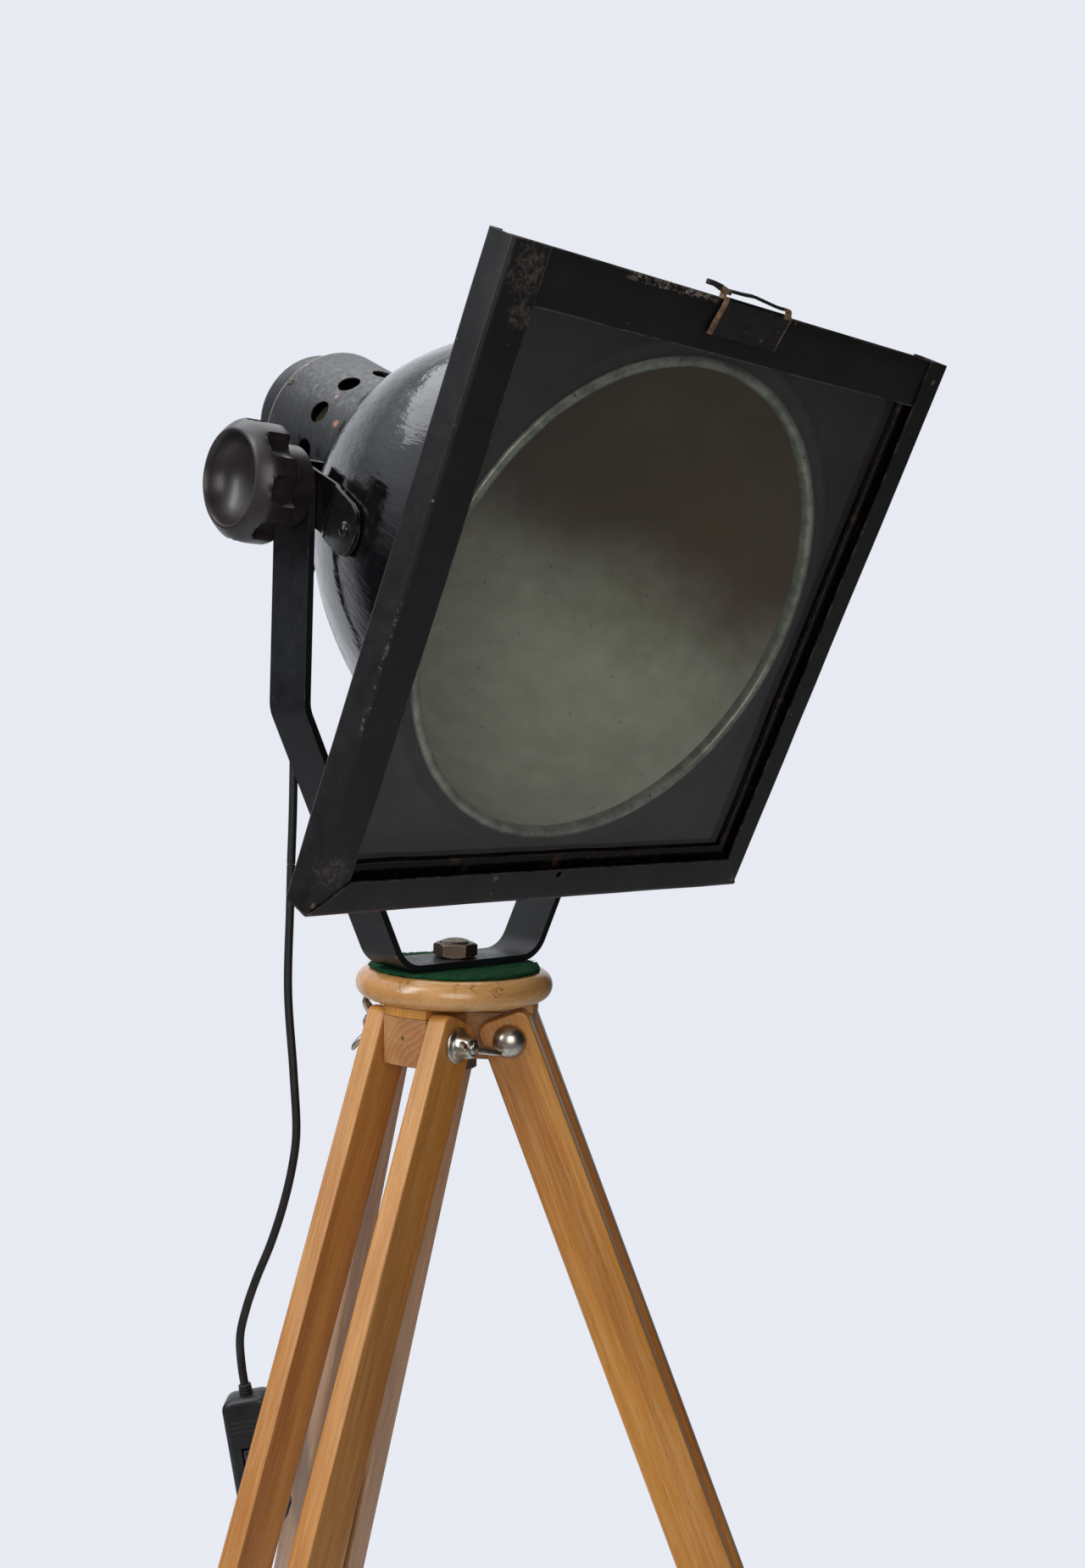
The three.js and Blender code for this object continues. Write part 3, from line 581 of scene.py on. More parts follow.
def clip_steel():
    """Painted sheet that has rusted through along its left end and its right-hand corner."""
    f = Finish("clip_steel")
    across, up = f.axis(0), f.axis(1)
    from_left = f.plus(across, f.times(f.minus(205.0, up), 0.23))
    grain = f.noise(260, 5, roughness=0.7)
    wander = f.times(f.minus(grain, 0.5), 4.0)
    strip_end = f.ramp(f.plus(from_left, wander), -30.6, -31.8)
    strip_end = f.times(strip_end, f.ramp(across, -41.0, -40.0))
    corner = f.times(f.ramp(f.plus(across, wander), 18.5, 20.5), f.ramp(up, 203.5, 204.5))
    right_end = f.times(f.ramp(from_left, 25.6, 26.2), 0.7)
    specks = f.ramp(f.noise(190, 4, seed=3.0), 0.66, 0.72)
    rust = f.most(strip_end, corner, right_end, f.times(specks, 0.5))
    color = f.mix(f.ramp(grain, 0.35, 0.7), "0d0c0d", "1d1a19")
    color = f.mix(rust, color, f.mix(f.ramp(grain, 0.35, 0.65), "54402f", "8f7058"))
    f.bump((grain, 0.12), (rust, 0.1))
    return f.done(color, f.blend(rust, 0.42, 0.8))


def dark_steel(name="dark_steel", base="4c4743", bright="8d8780"):
    f = Finish(name)
    cloud = f.noise(110, 5, roughness=0.65)
    fine = f.noise(900, 3)
    color = f.mix(f.ramp(cloud, 0.4, 0.7), base, "5f4a3a")
    color = f.mix(f.edges(0.8), color, bright)
    f.bump((cloud, 0.12), (fine, 0.03))
    return f.done(color, f.blend(cloud, 0.3, 0.55), 0.85)


def nickel():
    f = Finish("nickel")
    cloud = f.noise(150, 6, roughness=0.7)
    scratch = f.noise(900, 2, stretch=(0.15, 1, 1), seed=2.0)
    pit = f.ramp(f.noise(600, 3, seed=7.0), 0.66, 0.72)
    color = f.mix(f.ramp(cloud, 0.35, 0.7), "cfcac0", "9d9588")
    color = f.mix(f.times(pit, 0.6), color, "5b5046")
    f.bump((cloud, 0.1), (scratch, 0.02), (f.minus(1.0, pit), 0.05))
    return f.done(color, f.blend(cloud, 0.2, 0.4), 1.0)


def wood(name, along=2, light="d29a55", deep="b0742f", seed=0.0, gloss=0.32, streak=0.5, ring_colour="7a4a20",
         cracks=()):
    """Varnished beech with its grain along one axis: broad bands, fibres, short dark pores."""
    f = Finish(name, coat_weight=0.35, coat_roughness=0.18)

    def stretched(across, length):
        return tuple(length if i == along else across for i in range(3))

    band = f.noise(24, 4, stretched(1, 0.09), seed, 0.5, bend=0.6)
    ring = f.noise(120, 3, stretched(1, 0.035), seed + 5, 0.6, bend=0.4)
    fibre = f.noise(700, 3, stretched(1, 0.03), seed + 2)
    pore = f.ramp(f.noise(1300, 2, stretched(1, 0.07), seed + 9), 0.62, 0.7)
    cloud = f.noise(7, 3, seed=seed + 1)
    color = f.mix(f.ramp(band, 0.34, 0.66), light, deep)
    color = f.mix(f.times(f.ramp(ring, 0.42, 0.7), streak * 0.55), color, ring_colour)
    color = f.mix(f.times(f.ramp(fibre, 0.4, 0.7), 0.22), color, "e9c088")
    color = f.mix(f.times(pore, 0.3), color, "5b3413")
    color = f.mix(f.times(f.ramp(cloud, 0.45, 0.75), 0.25), color, deep)
    color = f.mix(f.times(f.edges(1.2), 0.35), color, "e0b87e")
    if cracks:
        line = f.math("ABSOLUTE", f.minus(f.noise(95, 5, seed=seed + 13, roughness=0.7), 0.5))
        thin = f.ramp(line, 0.022, 0.006)
        crazed = f.times(thin, f.most(*[f.near(place, radius) for place, radius in cracks]))
        color = f.mix(f.times(crazed, 0.85), color, "3a2110")
    f.bump((ring, 0.12), (fibre, 0.04), (f.minus(1.0, pore), 0.03))
    return f.done(color, f.blend(band, gloss, gloss + 0.14))


def end_grain():
    """A tenon: growth rings about a line along its own length, seen on its end."""
    f = Finish("end_grain", coat_weight=0.2, coat_roughness=0.25)
    flat = f.node("VectorMath", {0: f.point, 1: (0.12, 1, 1)}, operation="MULTIPLY").outputs[0]
    heart = f.node("VectorMath", {0: flat, 1: (0, 0.034, -0.078)}, operation="DISTANCE").outputs["Value"]
    bent = f.plus(heart, f.times(f.noise(70, 5), 0.007))
    rings = f.math("SINE", f.times(bent, 1500.0))
    fine = f.noise(600, 3)
    color = f.mix(f.ramp(rings, -0.4, 1.0), "ab7546", "9a683e")
    color = f.mix(f.times(f.ramp(f.noise(30, 4, seed=3.0), 0.45, 0.7), 0.5), color, "c99a63")
    color = f.mix(f.times(f.ramp(fine, 0.5, 0.75), 0.3), color, "6e4322")
    crack = f.near((61, 1, -46), 3.2)
    color = f.mix(f.times(crack, 0.8), color, "2c190c")
    f.bump((rings, 0.05), (fine, 0.05))
    return f.done(color, 0.5)


def green_felt():
    f = Finish("green_felt", specular_ior_level=0.1)
    wool = f.noise(800, 5, roughness=0.75)
    clump = f.noise(130, 5, roughness=0.7)
    color = f.mix(f.ramp(clump, 0.3, 0.7), "10301d", "1b4a2c")
    color = f.mix(f.times(f.ramp(wool, 0.5, 0.8), 0.4), color, "2b6a40")
    f.bump((clump, 0.9), (wool, 0.5))
    return f.done(color, 0.95)


def rubber(name="rubber", base="161618", light="2a2a2d", gloss=0.42, bump=0.05):
    f = Finish(name)
    cloud = f.noise(60, 5, roughness=0.65)
    fine = f.noise(900, 3)
    color = f.mix(f.ramp(cloud, 0.35, 0.75), base, light)
    color = f.mix(f.times(f.ramp(fine, 0.6, 0.8), 0.25), color, "4b4a4a")
    f.bump((fine, bump), (cloud, 0.1))
    return f.done(color, f.blend(cloud, gloss, gloss + 0.2))


def pane_glass():
    """Clear window glass: see-through with a mirror coat, and dust on it."""
    f = Finish("pane_glass", roughness=0.03, ior=1.5, metallic=0.0)
    put(f.tree, f.shader.inputs["Base Color"], (0.0, 0.0, 0.0, 1.0))
    dust = f.ramp(f.noise(500, 5, roughness=0.8), 0.6, 0.85)
    smear = f.ramp(f.noise(18, 5, seed=2.0), 0.45, 0.75)
    film = f.plus(f.times(dust, 0.04), f.times(smear, 0.02))
    clear = f.node("BsdfTransparent", {0: (0.92, 0.93, 0.915, 1.0)}).outputs[0]
    mirror = f.node("BsdfGlossy", {"Color": (1.0, 1.0, 1.0, 1.0), "Roughness": 0.02}).outputs[0]
    haze = f.node("BsdfDiffuse", {"Color": rgb("9a958c")}).outputs[0]
    facing = f.node("LayerWeight", {"Blend": 0.5}).outputs["Facing"]
    share = f.plus(0.04, f.times(f.math("POWER", facing, 5.0), 0.96))
    see = f.node("MixShader", {0: share, 1: clear, 2: mirror}).outputs[0]
    total = f.node("MixShader", {0: film, 1: see, 2: haze}).outputs[0]
    output = f.tree.nodes["Material Output"]
    f.tree.links.new(total, output.inputs["Surface"])
    return f.material


def porcelain():
    f = Finish("porcelain", coat_weight=0.6, coat_roughness=0.08)
    cloud = f.noise(60, 5)
    craze = f.ramp(f.noise(300, 4, seed=3.0), 0.66, 0.7)
    color = f.mix(cloud, "d8d4c8", "c4beae")
    color = f.mix(f.times(craze, 0.4), color, "7a6f5e")
    f.bump((cloud, 0.1))
    return f.done(color, 0.3)


def bulb_glass():
    f = Finish("bulb_glass", coat_weight=0.5, coat_roughness=0.05)
    cloud = f.noise(40, 4)
    cap = f.ramp(f.axis(2), -92.0, -93.0)
    color = f.mix(cap, f.mix(cloud, "dcd9cf", "c9c5b8"), "9a8a68")
    f.bump((cloud, 0.05))
    return f.done(color, f.blend(cloud, 0.24, 0.36), f.times(cap, 0.9))


FRAME_LEFT = black_paint("frame_left_paint", wear=0.55, worn="77655a",
                         scuff=(1, -82, -2, [(0, -200), (2, 200)], 2.4),
                         chips=[((-196, -198, 199), 4), ((-199, 60, 199), 2)],
                         stains=[((-184, 190, 200), 26), ((-180, 168, 200), 16), ((-188, -176, 200), 22)])
FRAME_RIGHT = black_paint("frame_right_paint", wear=0.55,
                          chips=[((184, -60, 199), 2.5), ((190, 192, 199), 4)])
FRAME_BOTTOM = black_paint("frame_bottom_paint", wear=0.52, chips=[
    ((-55, -186, 200), 5), ((-54, -198, 200), 3), ((2.8, -185.7, 200), 4.5), ((192, -200, 200), 5)])
FRAME_TOP = black_paint("frame_top_paint", wear=0.5, worn="77706b", scuff=(0, -112, -39, [(1, 203.5)], 3.2))
PLATE = black_paint("plate_paint", base="0c0c0d", dust="141415", wear=0.6, gloss=0.5)
YOKE_PAINT = black_paint("yoke_paint", base="101013", dust="1c1d20", wear=0.62, gloss=0.4, chips=[
    ((118, -16, 90), 4), ((70, -18, 22), 3), ((-70, -19, 12), 3)])
BRACKET_PAINT = black_paint("bracket_paint", base="0b0b0c", dust="131315", wear=0.55, gloss=0.24)
GLAND = rubber("gland_rubber", base="141416", light="242426")
SWITCH = rubber("switch_plastic", base="121214", light="1f1f22", gloss=0.28, bump=0.02)
LEAD = rubber("lead_rubber", base="151517", light="222225", gloss=0.36)
ENAMEL = enamel()
LINING = reflector_lining()
RIM = rolled_rim()
NECK = neck_paint()
BAKELITE = bakelite()
RUST = rusty_steel()
CLIP_STEEL = clip_steel()
STEEL = dark_steel()
NUT_STEEL = dark_steel("nut_steel", "5b4f45", "a39a8c")
STUD_STEEL = dark_steel("stud_steel", "8b857c", "cfc9be")
NICKEL = nickel()
DISC_WOOD = wood("disc_wood", along=0, light="cf9c60", deep="bd8348", seed=2.0, gloss=0.2, streak=0.25,
                 cracks=[((-38, -58, -6), 20), ((-18, -68, -8), 14), ((40, -58, -10), 12),
                 ((-66, -22, -8), 12)])
BLOCK_WOOD = end_grain()
LEG_WOOD = {
    1: wood("leg_wood_1", seed=11.0, light="c98a3a", deep="ad6c24"),
    2: wood("leg_wood_2", seed=23.0, light="c98735", deep="ab6921"),
    # painted shade: the back leg gets darker, pinker wood colours than the other two legs, for the shadow it
    # stands in
    3: wood("leg_wood_3_painted_shade", seed=37.0, light="b88a64", deep="97704f", ring_colour="6e4a32"),
}
FELT = green_felt()
GLASS = pane_glass()
PORCELAIN = porcelain()
BULB = bulb_glass()

# ---- camera, light and floor ----
scene = bpy.context.scene
VIEW_FROM = (-760.4, -900.4, 183.9)
YAW, PITCH, ROLL = (radians(d) for d in (43.10, 2.48, 1.75))
LENS, SENSOR = 53.7, 36.0

forward = Vector((sin(YAW) * cos(PITCH), cos(YAW) * cos(PITCH), -sin(PITCH)))
level_right = Vector((cos(YAW), -sin(YAW), 0))
level_up = level_right.cross(forward)
cam_right = level_right * cos(ROLL) + level_up * sin(ROLL)
cam_up = level_up * cos(ROLL) - level_right * sin(ROLL)
camera_data = bpy.data.cameras.new("camera")
camera_data.lens = LENS
camera_data.sensor_width = SENSOR
camera_data.sensor_fit = "HORIZONTAL"
camera = bpy.data.objects.new("camera", camera_data)
scene.collection.objects.link(camera)
camera.matrix_world = (
    TOP @ shift(*VIEW_FROM) @ Matrix((cam_right, cam_up, -forward)).transposed().to_4x4())
scene.camera = camera
scene.view_settings.view_transform = "Standard"


def soft_light(name, place, aim, size, power, color):
    data = bpy.data.lights.new(name, "AREA")
    data.shape = "RECTANGLE"
    data.size, data.size_y = size
    data.energy = power
    data.color = color
    light = bpy.data.objects.new(name, data)
    scene.collection.objects.link(light)
    light.location = TOP @ (Vector(place) * MM)
    target = TOP @ (Vector(aim) * MM)
    light.rotation_euler = (target - light.location).to_track_quat("-Z", "Y").to_euler()
    return light


soft_light("window", (-2300, 300, 1500), (0, 0, 100), (0.7, 2.4), 46, (0.93, 0.97, 1.0))
soft_light("overhead", (200, 900, 2300), (0, 0, 0), (2.4, 2.0), 30, (0.95, 0.98, 1.0))
soft_light("front_fill", (-1500, -1900, 500), (0, 0, -300), (1.4, 1.4), 24, (1.0, 0.97, 0.93))

world = bpy.data.worlds.new("studio")
scene.world = world
world.use_nodes = True
sky = world.node_tree
sky.nodes.clear()
ray = add_node(sky, "TexCoord").outputs["Generated"]


def facing(direction):
    """How far a ray points in a direction."""
    return add_node(sky, "VectorMath", {0: ray, 1: direction}, operation="DOT_PRODUCT").outputs["Value"]


def fade(value, low, high, kind="LINEAR"):
    return add_node(sky, "MapRange", {0: value, 1: low, 2: high}, interpolation_type=kind).outputs[0]


def sky_mix(share, a, b):
    return add_node(sky, "Mix", {0: share, 6: a, 7: b}, data_type="RGBA").outputs[2]


height = add_node(sky, "SeparateXYZ", {0: ray}).outputs[2]
sky_light = fade(facing((-0.35, 0.35, 0.87)), 0.55, 0.9, "SMOOTHSTEP")
back_wall = fade(facing((0.42, 0.9, 0.05)), 0.72, 0.93, "SMOOTHSTEP")
glow = add_node(sky, "Math", {0: sky_light, 1: back_wall}, operation="MAXIMUM").outputs[0]
wall_side = fade(facing((-0.6, -0.7, 0.0)), -1.1, 0.4)
room = sky_mix(fade(height, -0.75, -0.1), rgb("aeadb0"), rgb("232326"))
room = sky_mix(glow, room, rgb("f4f8ff"))
wall = sky_mix(wall_side, rgb("e6e9f1"), rgb("eff2f8"))
seen = add_node(sky, "LightPath").outputs["Is Camera Ray"]
around = add_node(sky, "Background", {"Color": room, "Strength": 0.9})
behind = add_node(sky, "Background", {"Color": wall, "Strength": 1.0})
both_skies = add_node(sky, "MixShader", {0: seen, 1: around.outputs[0], 2: behind.outputs[0]})
add_node(sky, "OutputWorld", {"Surface": both_skies.outputs[0]})

floor_finish = Finish("floor_finish")
floor_mark = floor_finish.noise(9, 5)
floor_finish.bump((floor_finish.noise(160, 4), 0.1))
floor_finish.done(floor_finish.mix(floor_mark, "d9dbdf", "e6e8eb"), 0.7)
floor = raw_object("floor", lathe([(0, -1), (1150, -1), (1150, 0), (0, 0)], 96), Matrix())
floor.data.materials.append(floor_finish.material)

# ---- mains lead ----
GLAND_EXIT = (0, 189.7, 307)
UPPER = [
    GLAND_EXIT, (0, 193.9, 298), (-1, 198, 288.5), (-3, 202.5, 272), (-5, 205, 250), (-6, 206, 220),
    (-6, 205, 180), (-6, 204, 140), (-6, 203.5, 95), (-6.5, 203.5, 55)]
MIDDLE = [
    (-6.5, 203.5, 54.5), (-6.5, 203.5, 19), (-6.5, 203.5, -50), (-2, 199.5, -117), (0.5, 197, -167),
    (-1, 198.5, -192), (-6, 203, -226), (-13, 210, -260), (-21.5, 218, -291), (-27, 223, -315),
    (-30.5, 226, -339), (-29, 225, -364), (-26, 222, -387)]
LOWER = [
    (-11, 207.5, -493), (-10.3, 206.9, -498), (-11.5, 207.3, -506), (-18, 209, -518), (-28, 211.5, -530),
    (-35, 212.5, -544), (-38.5, 211.5, -565), (-38, 208, -600), (-32, 200, -700), (-28, 193, -800),
    (-26, 189, -900), (-26, 187.5, -980), (-26, 187, -1020), (-26, 186, -1040), (-26, 181.6, -1056.5),
    (-26, 167, -1071), (-26, 149, -1076.3), (-26, 134.5, -1076.4)]
COIL = (-71.5, 108)
TURNS = [(45.5, 3.5), (38.5, 3.5), (31.5, 3.5), (31.5, 10.5), (38.5, 10.5), (45.5, 10.5)]
LAST_ANGLE = 165  # the top turn leaves the coil here
PLUG = (-143, 149.5)
PLUG_TURN = 40
PLUG_AXIS = 18.8  # above the floor
PIN_GAP = 19


def coil_line():
    """Clockwise turns, inwards on the floor and back outwards on top of them."""
    line = []
    step = 6
    for k, (radius, high) in enumerate(TURNS):
        last = k == len(TURNS) - 1
        for angle in range(0, LAST_ANGLE + 1 if last else 360, step):
            after = TURNS[k] if last else TURNS[k + 1]
            share = max(0, (angle - 300) / 60)
            ease = share * share * (3 - 2 * share)
            r = radius + (after[0] - radius) * ease
            z = high + (after[1] - high) * ease
            x, y = polar(r, -radians(angle))
            line.append(Vector((COIL[0] + x, COIL[1] + y, z - TOP_HEIGHT)))
    return line


def tail_line(start):
    """From the coil's top turn into the plug's rear end."""
    heading = radians(270 - LAST_ANGLE)
    plug_heading = radians(90 + PLUG_TURN)
    inside = 6
    end = Vector((PLUG[0] + inside * cos(plug_heading), PLUG[1] + inside * sin(plug_heading),
                  PLUG_AXIS - TOP_HEIGHT))
    reach = (end - start).length
    out = Vector((cos(heading), sin(heading), 0)) * reach
    into = Vector((cos(plug_heading), sin(plug_heading), 0)) * reach
    line = []
    for i in range(1, 21):
        t = i / 20
        line.append(start * (2 * t**3 - 3 * t**2 + 1) + out * (t**3 - 2 * t**2 + t)
                    + end * (3 * t**2 - 2 * t**3) + into * (t**3 - t**2))
    return line


upper_line = catmull(UPPER)
switch_line = [Vector(MIDDLE[-1]).lerp(Vector(LOWER[0]), i / 12) for i in range(1, 12)]
wound = coil_line()
lower_line = catmull(MIDDLE) + switch_line + catmull(LOWER) + wound[1:] + tail_line(wound[-1])

upper_cord = raw_object("lead_upper", tube(upper_line, CORD / 2, 16), TOP)
lower_cord = raw_object("lead_lower", tube(lower_line, CORD / 2, 16), TOP)
for cord in (upper_cord, lower_cord):
    cord.data.materials.append(LEAD)
    cord.data.shade_smooth()
    cord.data.set_sharp_from_angle(angle=radians(60))
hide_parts("cord_upper")
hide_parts("cord_middle", "cord_lower", "cord_coil")

# ---- in-line switch ----
switch_top, switch_bottom = Vector(MIDDLE[-1]), Vector(LOWER[0])
SWITCH_HALF = (switch_top - switch_bottom).length / 2 - 0.3
SWITCH_WIDE, SWITCH_DEEP, SWITCH_CORNER = 20, 13, 9
switch_up = (switch_top - switch_bottom).normalized()
switch_across = Vector((-0.683, -0.73, 0)).cross(switch_up).normalized()
switch_toward = switch_up.cross(switch_across)
SWITCH_FRAME = TOP @ shift(*((switch_top + switch_bottom) / 2)) @ Matrix(
    (switch_across, switch_toward, switch_up)).transposed().to_4x4()


def switch_half(sign):
    """One moulded half, from the seam outwards, in the plane across the facing direction."""
    levels = [(0.35, 0.6), (0.9, 0.0), (SWITCH_DEEP - 4, 0.0), (SWITCH_DEEP - 2.2, 0.7),
              (SWITCH_DEEP - 0.8, 2.0), (SWITCH_DEEP, 4.0)]
    rings = []
    for depth, inset in levels:
        outline = rounded_rectangle(SWITCH_WIDE - inset, SWITCH_HALF - inset, SWITCH_CORNER - inset * 0.5)
        rings.append([(x, sign * depth, z) for x, z in outline])
    return loft(rings)


pocket = block((-8.6, SWITCH_DEEP - 8, -13.6), (8.6, SWITCH_DEEP + 4, 13.6))
grooves = both(*[block((-14, SWITCH_DEEP - 0.7, z - 0.5), (14, SWITCH_DEEP + 1, z + 0.5))
                 for z in (-36, -32, -28, 28, 32, 36)])
switch_front = piece("switch_front_shell", switch_half(1), SWITCH_FRAME, "tripod_top", "rubber", SWITCH,
                     ["switch_body"], bevel=0.4, holes=both(pocket, grooves))
switch_back = piece("switch_back_shell", switch_half(-1), SWITCH_FRAME, "tripod_top", "rubber", SWITCH,
                    bevel=0.4, holes=both(*[
                        moved(rod(2.4, SWITCH_DEEP - 3, SWITCH_DEEP + 3, 20), shift(0, 0, z) @ turn(90, "X"))
                        for z in (40, -40)]))
ribs = [(0, 0), (6.2, 0), (6.2, 2)]
ribs += repeated([(5.2, 0.4), (5.2, 1.2), (5.8, 1.6), (5.8, 2.6)], 2, 2.6, 3, 0.3)
sleeve = lathe(ribs + [(CORD / 2 + 0.4, 10.6), (0, 10.6)], 24)
sleeves = [moved(sleeve, shift(0, 0, sign * (SWITCH_HALF - 2)) @ turn(flip, "X"))
           for sign, flip in ((1, 0), (-1, 180))]
switch_sleeves = piece("switch_sleeves", both(*sleeves), SWITCH_FRAME, "tripod_top", "rubber", GLAND)
ROCKER_SLOPE = 6
rocker_rings = []
for depth, inset in ((-5, 0.2), (0.0, 0.2), (1.2, 0.6), (1.8, 1.6)):
    outline = rounded_rectangle(8 - inset, 12 - inset, 1.6)
    rocker_rings.append([(x, depth + 4.2 - 2.0 * cos(z / 12 * 1.2), z) for x, z in outline])
piece("switch_rocker_cap", loft(rocker_rings),
      SWITCH_FRAME @ shift(0, SWITCH_DEEP - 5, 0) @ turn(-ROCKER_SLOPE, "X"), "switch_rocker", "rubber",
      rubber("rocker_plastic", "1c1c1f", "2b2b2e", 0.25, 0.01), ["switch_rocker"], bevel=0.3)

# ---- plug ----
PLUG_FRAME = TOP @ shift(PLUG[0], PLUG[1], PLUG_AXIS - TOP_HEIGHT) @ turn(PLUG_TURN, "Z") @ ALONG_Y
strain_relief = [(CORD / 2 + r, z)
                 for r, z in repeated([(1.3, 0), (2.1, 0.5), (2.1, 1.8), (1.3, 2.3)], 1.5, 3, 5, -0.15)]
plug_profile = [(0, 0), (CORD / 2 + 1.2, 0)] + strain_relief + [
    (7.2, 18), (9, 22), (12.5, 26.5), (16.4, 30.5), (17.8, 34), (18.5, 37), (18.5, 54.5), (17.8, 56), (0, 56)]


def grip(radius, z, angle):
    """Finger grooves on the plug's shoulder."""
    hold = max(0.0, 1 - abs(z - 46) / 8) if radius > 15 else 0
    return radius - 0.7 * hold * (0.5 + 0.5 * cos(angle * 18))


pins = [moved(lathe([(0, 55), (2.4, 55), (2.4, 73.4), (1.8, 74.6), (0, 75)], 20), shift(x, 0, 0))
        for x in (-PIN_GAP / 2, PIN_GAP / 2)]
plug_body = piece("mains_plug_body", lathe(plug_profile, 72, wobble=grip), PLUG_FRAME, "tripod_top", "rubber",
                  rubber("plug_rubber", "151517", "232326", 0.4), ["mains_plug"], sharp=40)
plug_pins = piece("mains_plug_pins", both(*pins), PLUG_FRAME, "tripod_top", "nickel", NICKEL)

TIE_AT = 222  # degrees round the coil
TIE_UNDER = 6.9  # below the coil's middle, where the tie lies flat on the floor
tie_x, tie_y = polar(38.5, radians(TIE_AT))
tie_line = [(x, max(z, -TIE_UNDER)) for x, z in rounded_rectangle(11.6, 7.9, 4.5)]
tie_rings = [[(x * grow, y, z * grow) for x, z in tie_line]
             for y, grow in ((-2.4, 0.95), (-2.4, 1.0), (2.4, 1.0), (2.4, 0.95))]
coil_tie = piece("coil_tie", loft(tie_rings, closed=True),
                 TOP @ shift(COIL[0] + tie_x, COIL[1] + tie_y, 7.2 - TOP_HEIGHT) @ turn(TIE_AT, "Z"),
                 "tripod_top", "rubber", GLAND, sharp=50)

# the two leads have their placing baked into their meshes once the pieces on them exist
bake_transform(upper_cord)
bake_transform(lower_cord)


# ---- square front frame ----
def folded(line, run, low, high, stations=60, seed=0.0, wave=0.35):
    """Sheet folded along a line of (a, b) points and run from low(a) to high(a).

    run(position, a, b) gives the point, so one function serves upright and level pieces.
    """
    inner = offset(line, SHEET)
    outline = list(line) + list(reversed(inner))
    rings = []
    for i in range(stations + 1):
        t = i / stations
        ring = []
        for a, b in outline:
            p = Vector(run(low(a) + (high(a) - low(a)) * t, a, b))
            ring.append(p + rough(p, 45, wave, seed))
        rings.append(ring)
    return loft(rings)


def upright(position, a, b):
    return a, position, b


def level(position, a, b):
    return position, a, b


BEND = 3.2
left_line = fillet([(-HALF_WIDTH + LIP["left"], FRONT), (-HALF_WIDTH, FRONT), (-HALF_WIDTH, BACK),
                    (-HALF_WIDTH + REAR_LIP, BACK)], BEND)
right_line = fillet([(HALF_WIDTH - REAR_LIP, BACK), (HALF_WIDTH, BACK), (HALF_WIDTH, FRONT),
                     (HALF_WIDTH - LIP["right"], FRONT)], BEND)
bottom_line = fillet([(-HALF_HEIGHT + REAR_LIP, BACK), (-HALF_HEIGHT, BACK), (-HALF_HEIGHT, FRONT),
                      (-HALF_HEIGHT + LIP["bottom"], FRONT)], BEND)


def mitre_up(lip):
    """How high the side channel's lower end is at a distance in from its outer face."""
    return lambda a: -HALF_HEIGHT + max(0, HALF_WIDTH - abs(a)) * LIP["bottom"] / lip


on_lamp("frame_left_sheet",
        folded(left_line, upright, mitre_up(LIP["left"]), lambda a: HALF_HEIGHT, seed=1),
        "frame_paint", FRAME_LEFT, ["frame_left_channel"], bevel=0.35, sharp=50)
on_lamp("frame_right_sheet",
        folded(right_line, upright, mitre_up(LIP["right"]), lambda a: HALF_HEIGHT, seed=2),
        "frame_paint", FRAME_RIGHT, ["frame_right_channel"], bevel=0.35, sharp=50)
EDGE = HALF_WIDTH - SHEET - 0.3


def bottom_end(lip):
    return lambda a: min(EDGE, HALF_WIDTH - 0.3 - (a + HALF_HEIGHT) * lip / LIP["bottom"])


left_end, right_end = bottom_end(LIP["left"]), bottom_end(LIP["right"])
on_lamp("frame_bottom_sheet", folded(bottom_line, level, lambda a: -left_end(a), right_end, seed=3),
        "frame_paint", FRAME_BOTTOM, ["frame_bottom_channel"], bevel=0.35, sharp=50,
        holes=moved(rod(2.6, 190, 210, 20), shift(2.8, -185.7, 0)))
TOP_LIP = (FRONT - 2 * SHEET - 0.3, FRONT - SHEET - 0.3)
top_line = [Vector(p) for p in ((HALF_HEIGHT - LIP["top"], TOP_LIP[1]), (HALF_HEIGHT - 12, TOP_LIP[1]),
                                (HALF_HEIGHT - 1.5, TOP_LIP[1]), (HALF_HEIGHT, TOP_LIP[1] - 0.4))]
on_lamp("frame_top_sheet",
        folded(list(reversed(top_line)), level, lambda a: -EDGE, lambda a: EDGE, seed=4, wave=0.25),
        "frame_paint", FRAME_TOP, ["frame_top_lip"], bevel=0.3, sharp=50)

PLATE_BACK = BACK + SHEET + 0.3
PLATE_FRONT = PLATE_BACK + SHEET


def face_plate():
    """A square plate with a round mouth and a pressed ring round it."""
    low, high = -HALF_HEIGHT + SHEET + 0.6, HALF_HEIGHT - 1
    angles = sorted({TAU * i / 144 for i in range(144)}
                    | {atan2(v, u) % TAU for u in (-EDGE, EDGE) for v in (low, high)})
    steps = [(BOWL_RADIUS + 0.3, 0), (174, 0), (176, 0.9), (178.5, 1.5), (181, 0.9), (183, 0), (190, 0)]
    front, back = [], []
    for radius, rise in steps:
        front.append([(*polar(radius, a), PLATE_FRONT + rise) for a in angles])
        back.append([(*polar(radius, a), PLATE_BACK + rise * 0.8) for a in angles])
    rim_front, rim_back = [], []
    for a in angles:
        c, s = cos(a), sin(a)
        reach = min(EDGE / max(abs(c), 1e-9), (high if s > 0 else -low) / max(abs(s), 1e-9))
        rim_front.append((reach * c, reach * s, PLATE_FRONT))
        rim_back.append((reach * c, reach * s, PLATE_BACK))
    rings = front + [rim_front, rim_back] + list(reversed(back))
    return loft(rings, closed=True)


on_lamp("face_plate_sheet", face_plate(), "frame_paint", PLATE, ["face_plate"], sharp=40)

# ---- sliding pane and its clip ----
PANE_BACK, PANE_FRONT = 192.5, 195.0


